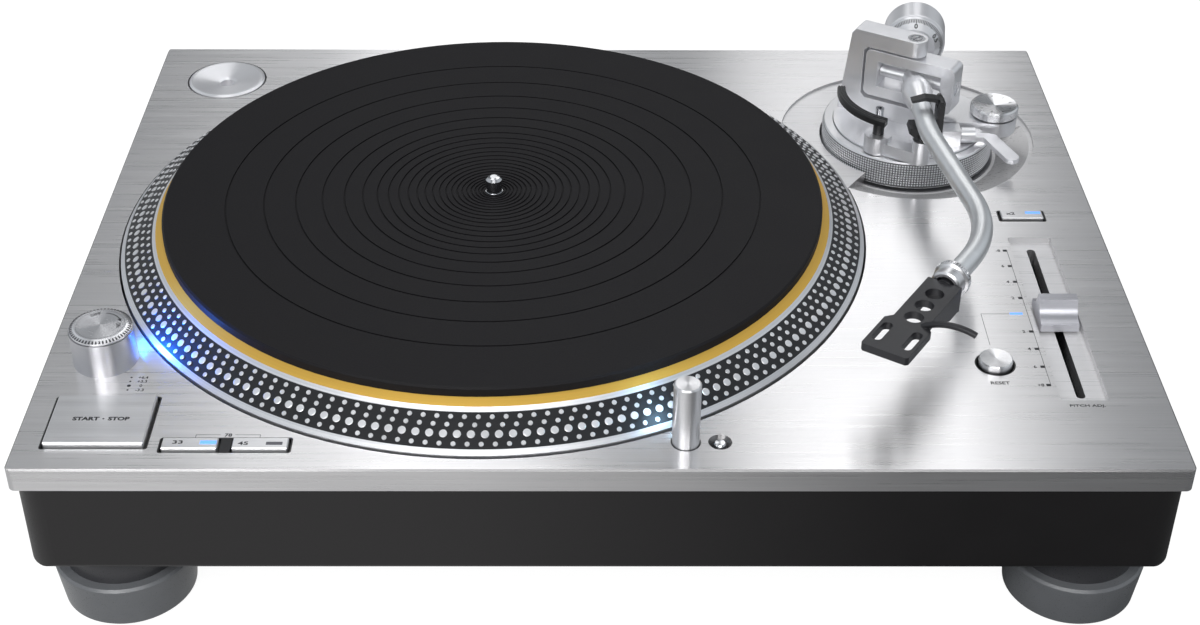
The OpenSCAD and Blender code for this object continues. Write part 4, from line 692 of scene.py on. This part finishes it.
def softbox(name, place, aim, width, height, radiance, colour=(1, 1, 1), along=(0, 0, 1)):
    """Area light that looks from place to aim; its height runs as near as it can along a direction."""
    light = bpy.data.lights.new(name, "AREA")
    light.shape = "RECTANGLE"
    light.size, light.size_y = width, height
    light.energy = radiance * math.pi * width * height
    light.color = colour
    obj = bpy.data.objects.new(name, light)
    scene.collection.objects.link(obj)
    back = (Vector(place) - Vector(aim)).normalized()
    side = Vector(along).cross(back).normalized()
    obj.matrix_world = (Matrix.Translation(place)
                        @ Matrix((side, back.cross(side), back)).transposed().to_4x4())
    return obj


def fan(name, low, high, radiance):
    """Three panels from low at the back to high overhead. low and high give the strip of the plate,
    from x to x, that mirrors them to the front."""
    start, run, panel, eye_rise = (1.52, 0.99), (-1.54, 0.92), 0.6, 0.462
    shares = (1.08, 1.0, 0.72)
    plate = PLATE_Z * MM
    for i, share in enumerate(shares):
        k = (i + 0.5) / len(shares)
        y, z = (a + b * k for a, b in zip(start, run))
        spread = 1 + (z - plate) / eye_rise
        x0, x1 = ((a + (b - a) * k) * spread for a, b in zip(low, high))
        mid = (x0 + x1) / 2
        softbox(name + str(i), (mid, y, z), (mid / spread, 0, plate), x1 - x0, panel, radiance * share,
                along=(0, *run))


fan("left_strip", (-0.080, -0.008), (-0.160, -0.012), 1.9)
fan("right_strip", (0.055, 0.165), (0.052, 0.13), 1.8)
softbox("floor_light", (-0.42, -0.75, 0.55), (-0.25, -0.3, 0.0), 0.4, 0.3, 6.0)
softbox("front_fill", (0.0, -1.5, 1.4), (0.05, 0, 0.09), 1.5, 0.7, 5.0)
softbox("strobe_glow", ((POWER[0] + 11.6) * MM, (POWER[1] + 7.7) * MM, (PLATE_Z + 8) * MM),
        (-0.138, -0.07, (PLATE_Z + 7) * MM), 0.006, 0.010, 190.0, (0.0, 0.12, 1.0))
lamp_glow = softbox("lamp_glow", ((LAMP[0] - 2) * MM, (LAMP[1] + 6.2) * MM, (PLATE_Z + 22) * MM),
                    (0.012, -0.13, (PLATE_Z + 8) * MM), 0.004, 0.004, 110.0, (0.38, 0.68, 1.0))
lamp_glow.parent = nodes["stylus_lamp"]  # it sinks with the lamp

# The camera, as fitted to the photograph; angles are in radians
EYE_X, EYE_Y, EYE_RISE = -0.004636, -0.730794, 0.462158
PITCH, YAW, ROLL = 0.609684, -0.006749, -0.004869
swing = Matrix.Rotation(YAW, 3, "Z")
ahead = swing @ Vector((0, math.cos(PITCH), -math.sin(PITCH)))
right = swing @ Vector((1, 0, 0))
down = swing @ Vector((0, -math.sin(PITCH), -math.cos(PITCH)))
across = right * math.cos(ROLL) + down * math.sin(ROLL)
below = -right * math.sin(ROLL) + down * math.cos(ROLL)
camera = bpy.data.cameras.new("camera")
camera.sensor_width = 36.0
camera.lens = 57.17
camera.clip_start = 0.01
eye = bpy.data.objects.new("camera", camera)
eye.matrix_world = (Matrix.Translation((EYE_X, EYE_Y, EYE_RISE + PLATE_Z * MM))
                    @ Matrix((across, -below, -ahead)).transposed().to_4x4())
scene.collection.objects.link(eye)
scene.camera = eye
scene.view_settings.view_transform = "Standard"
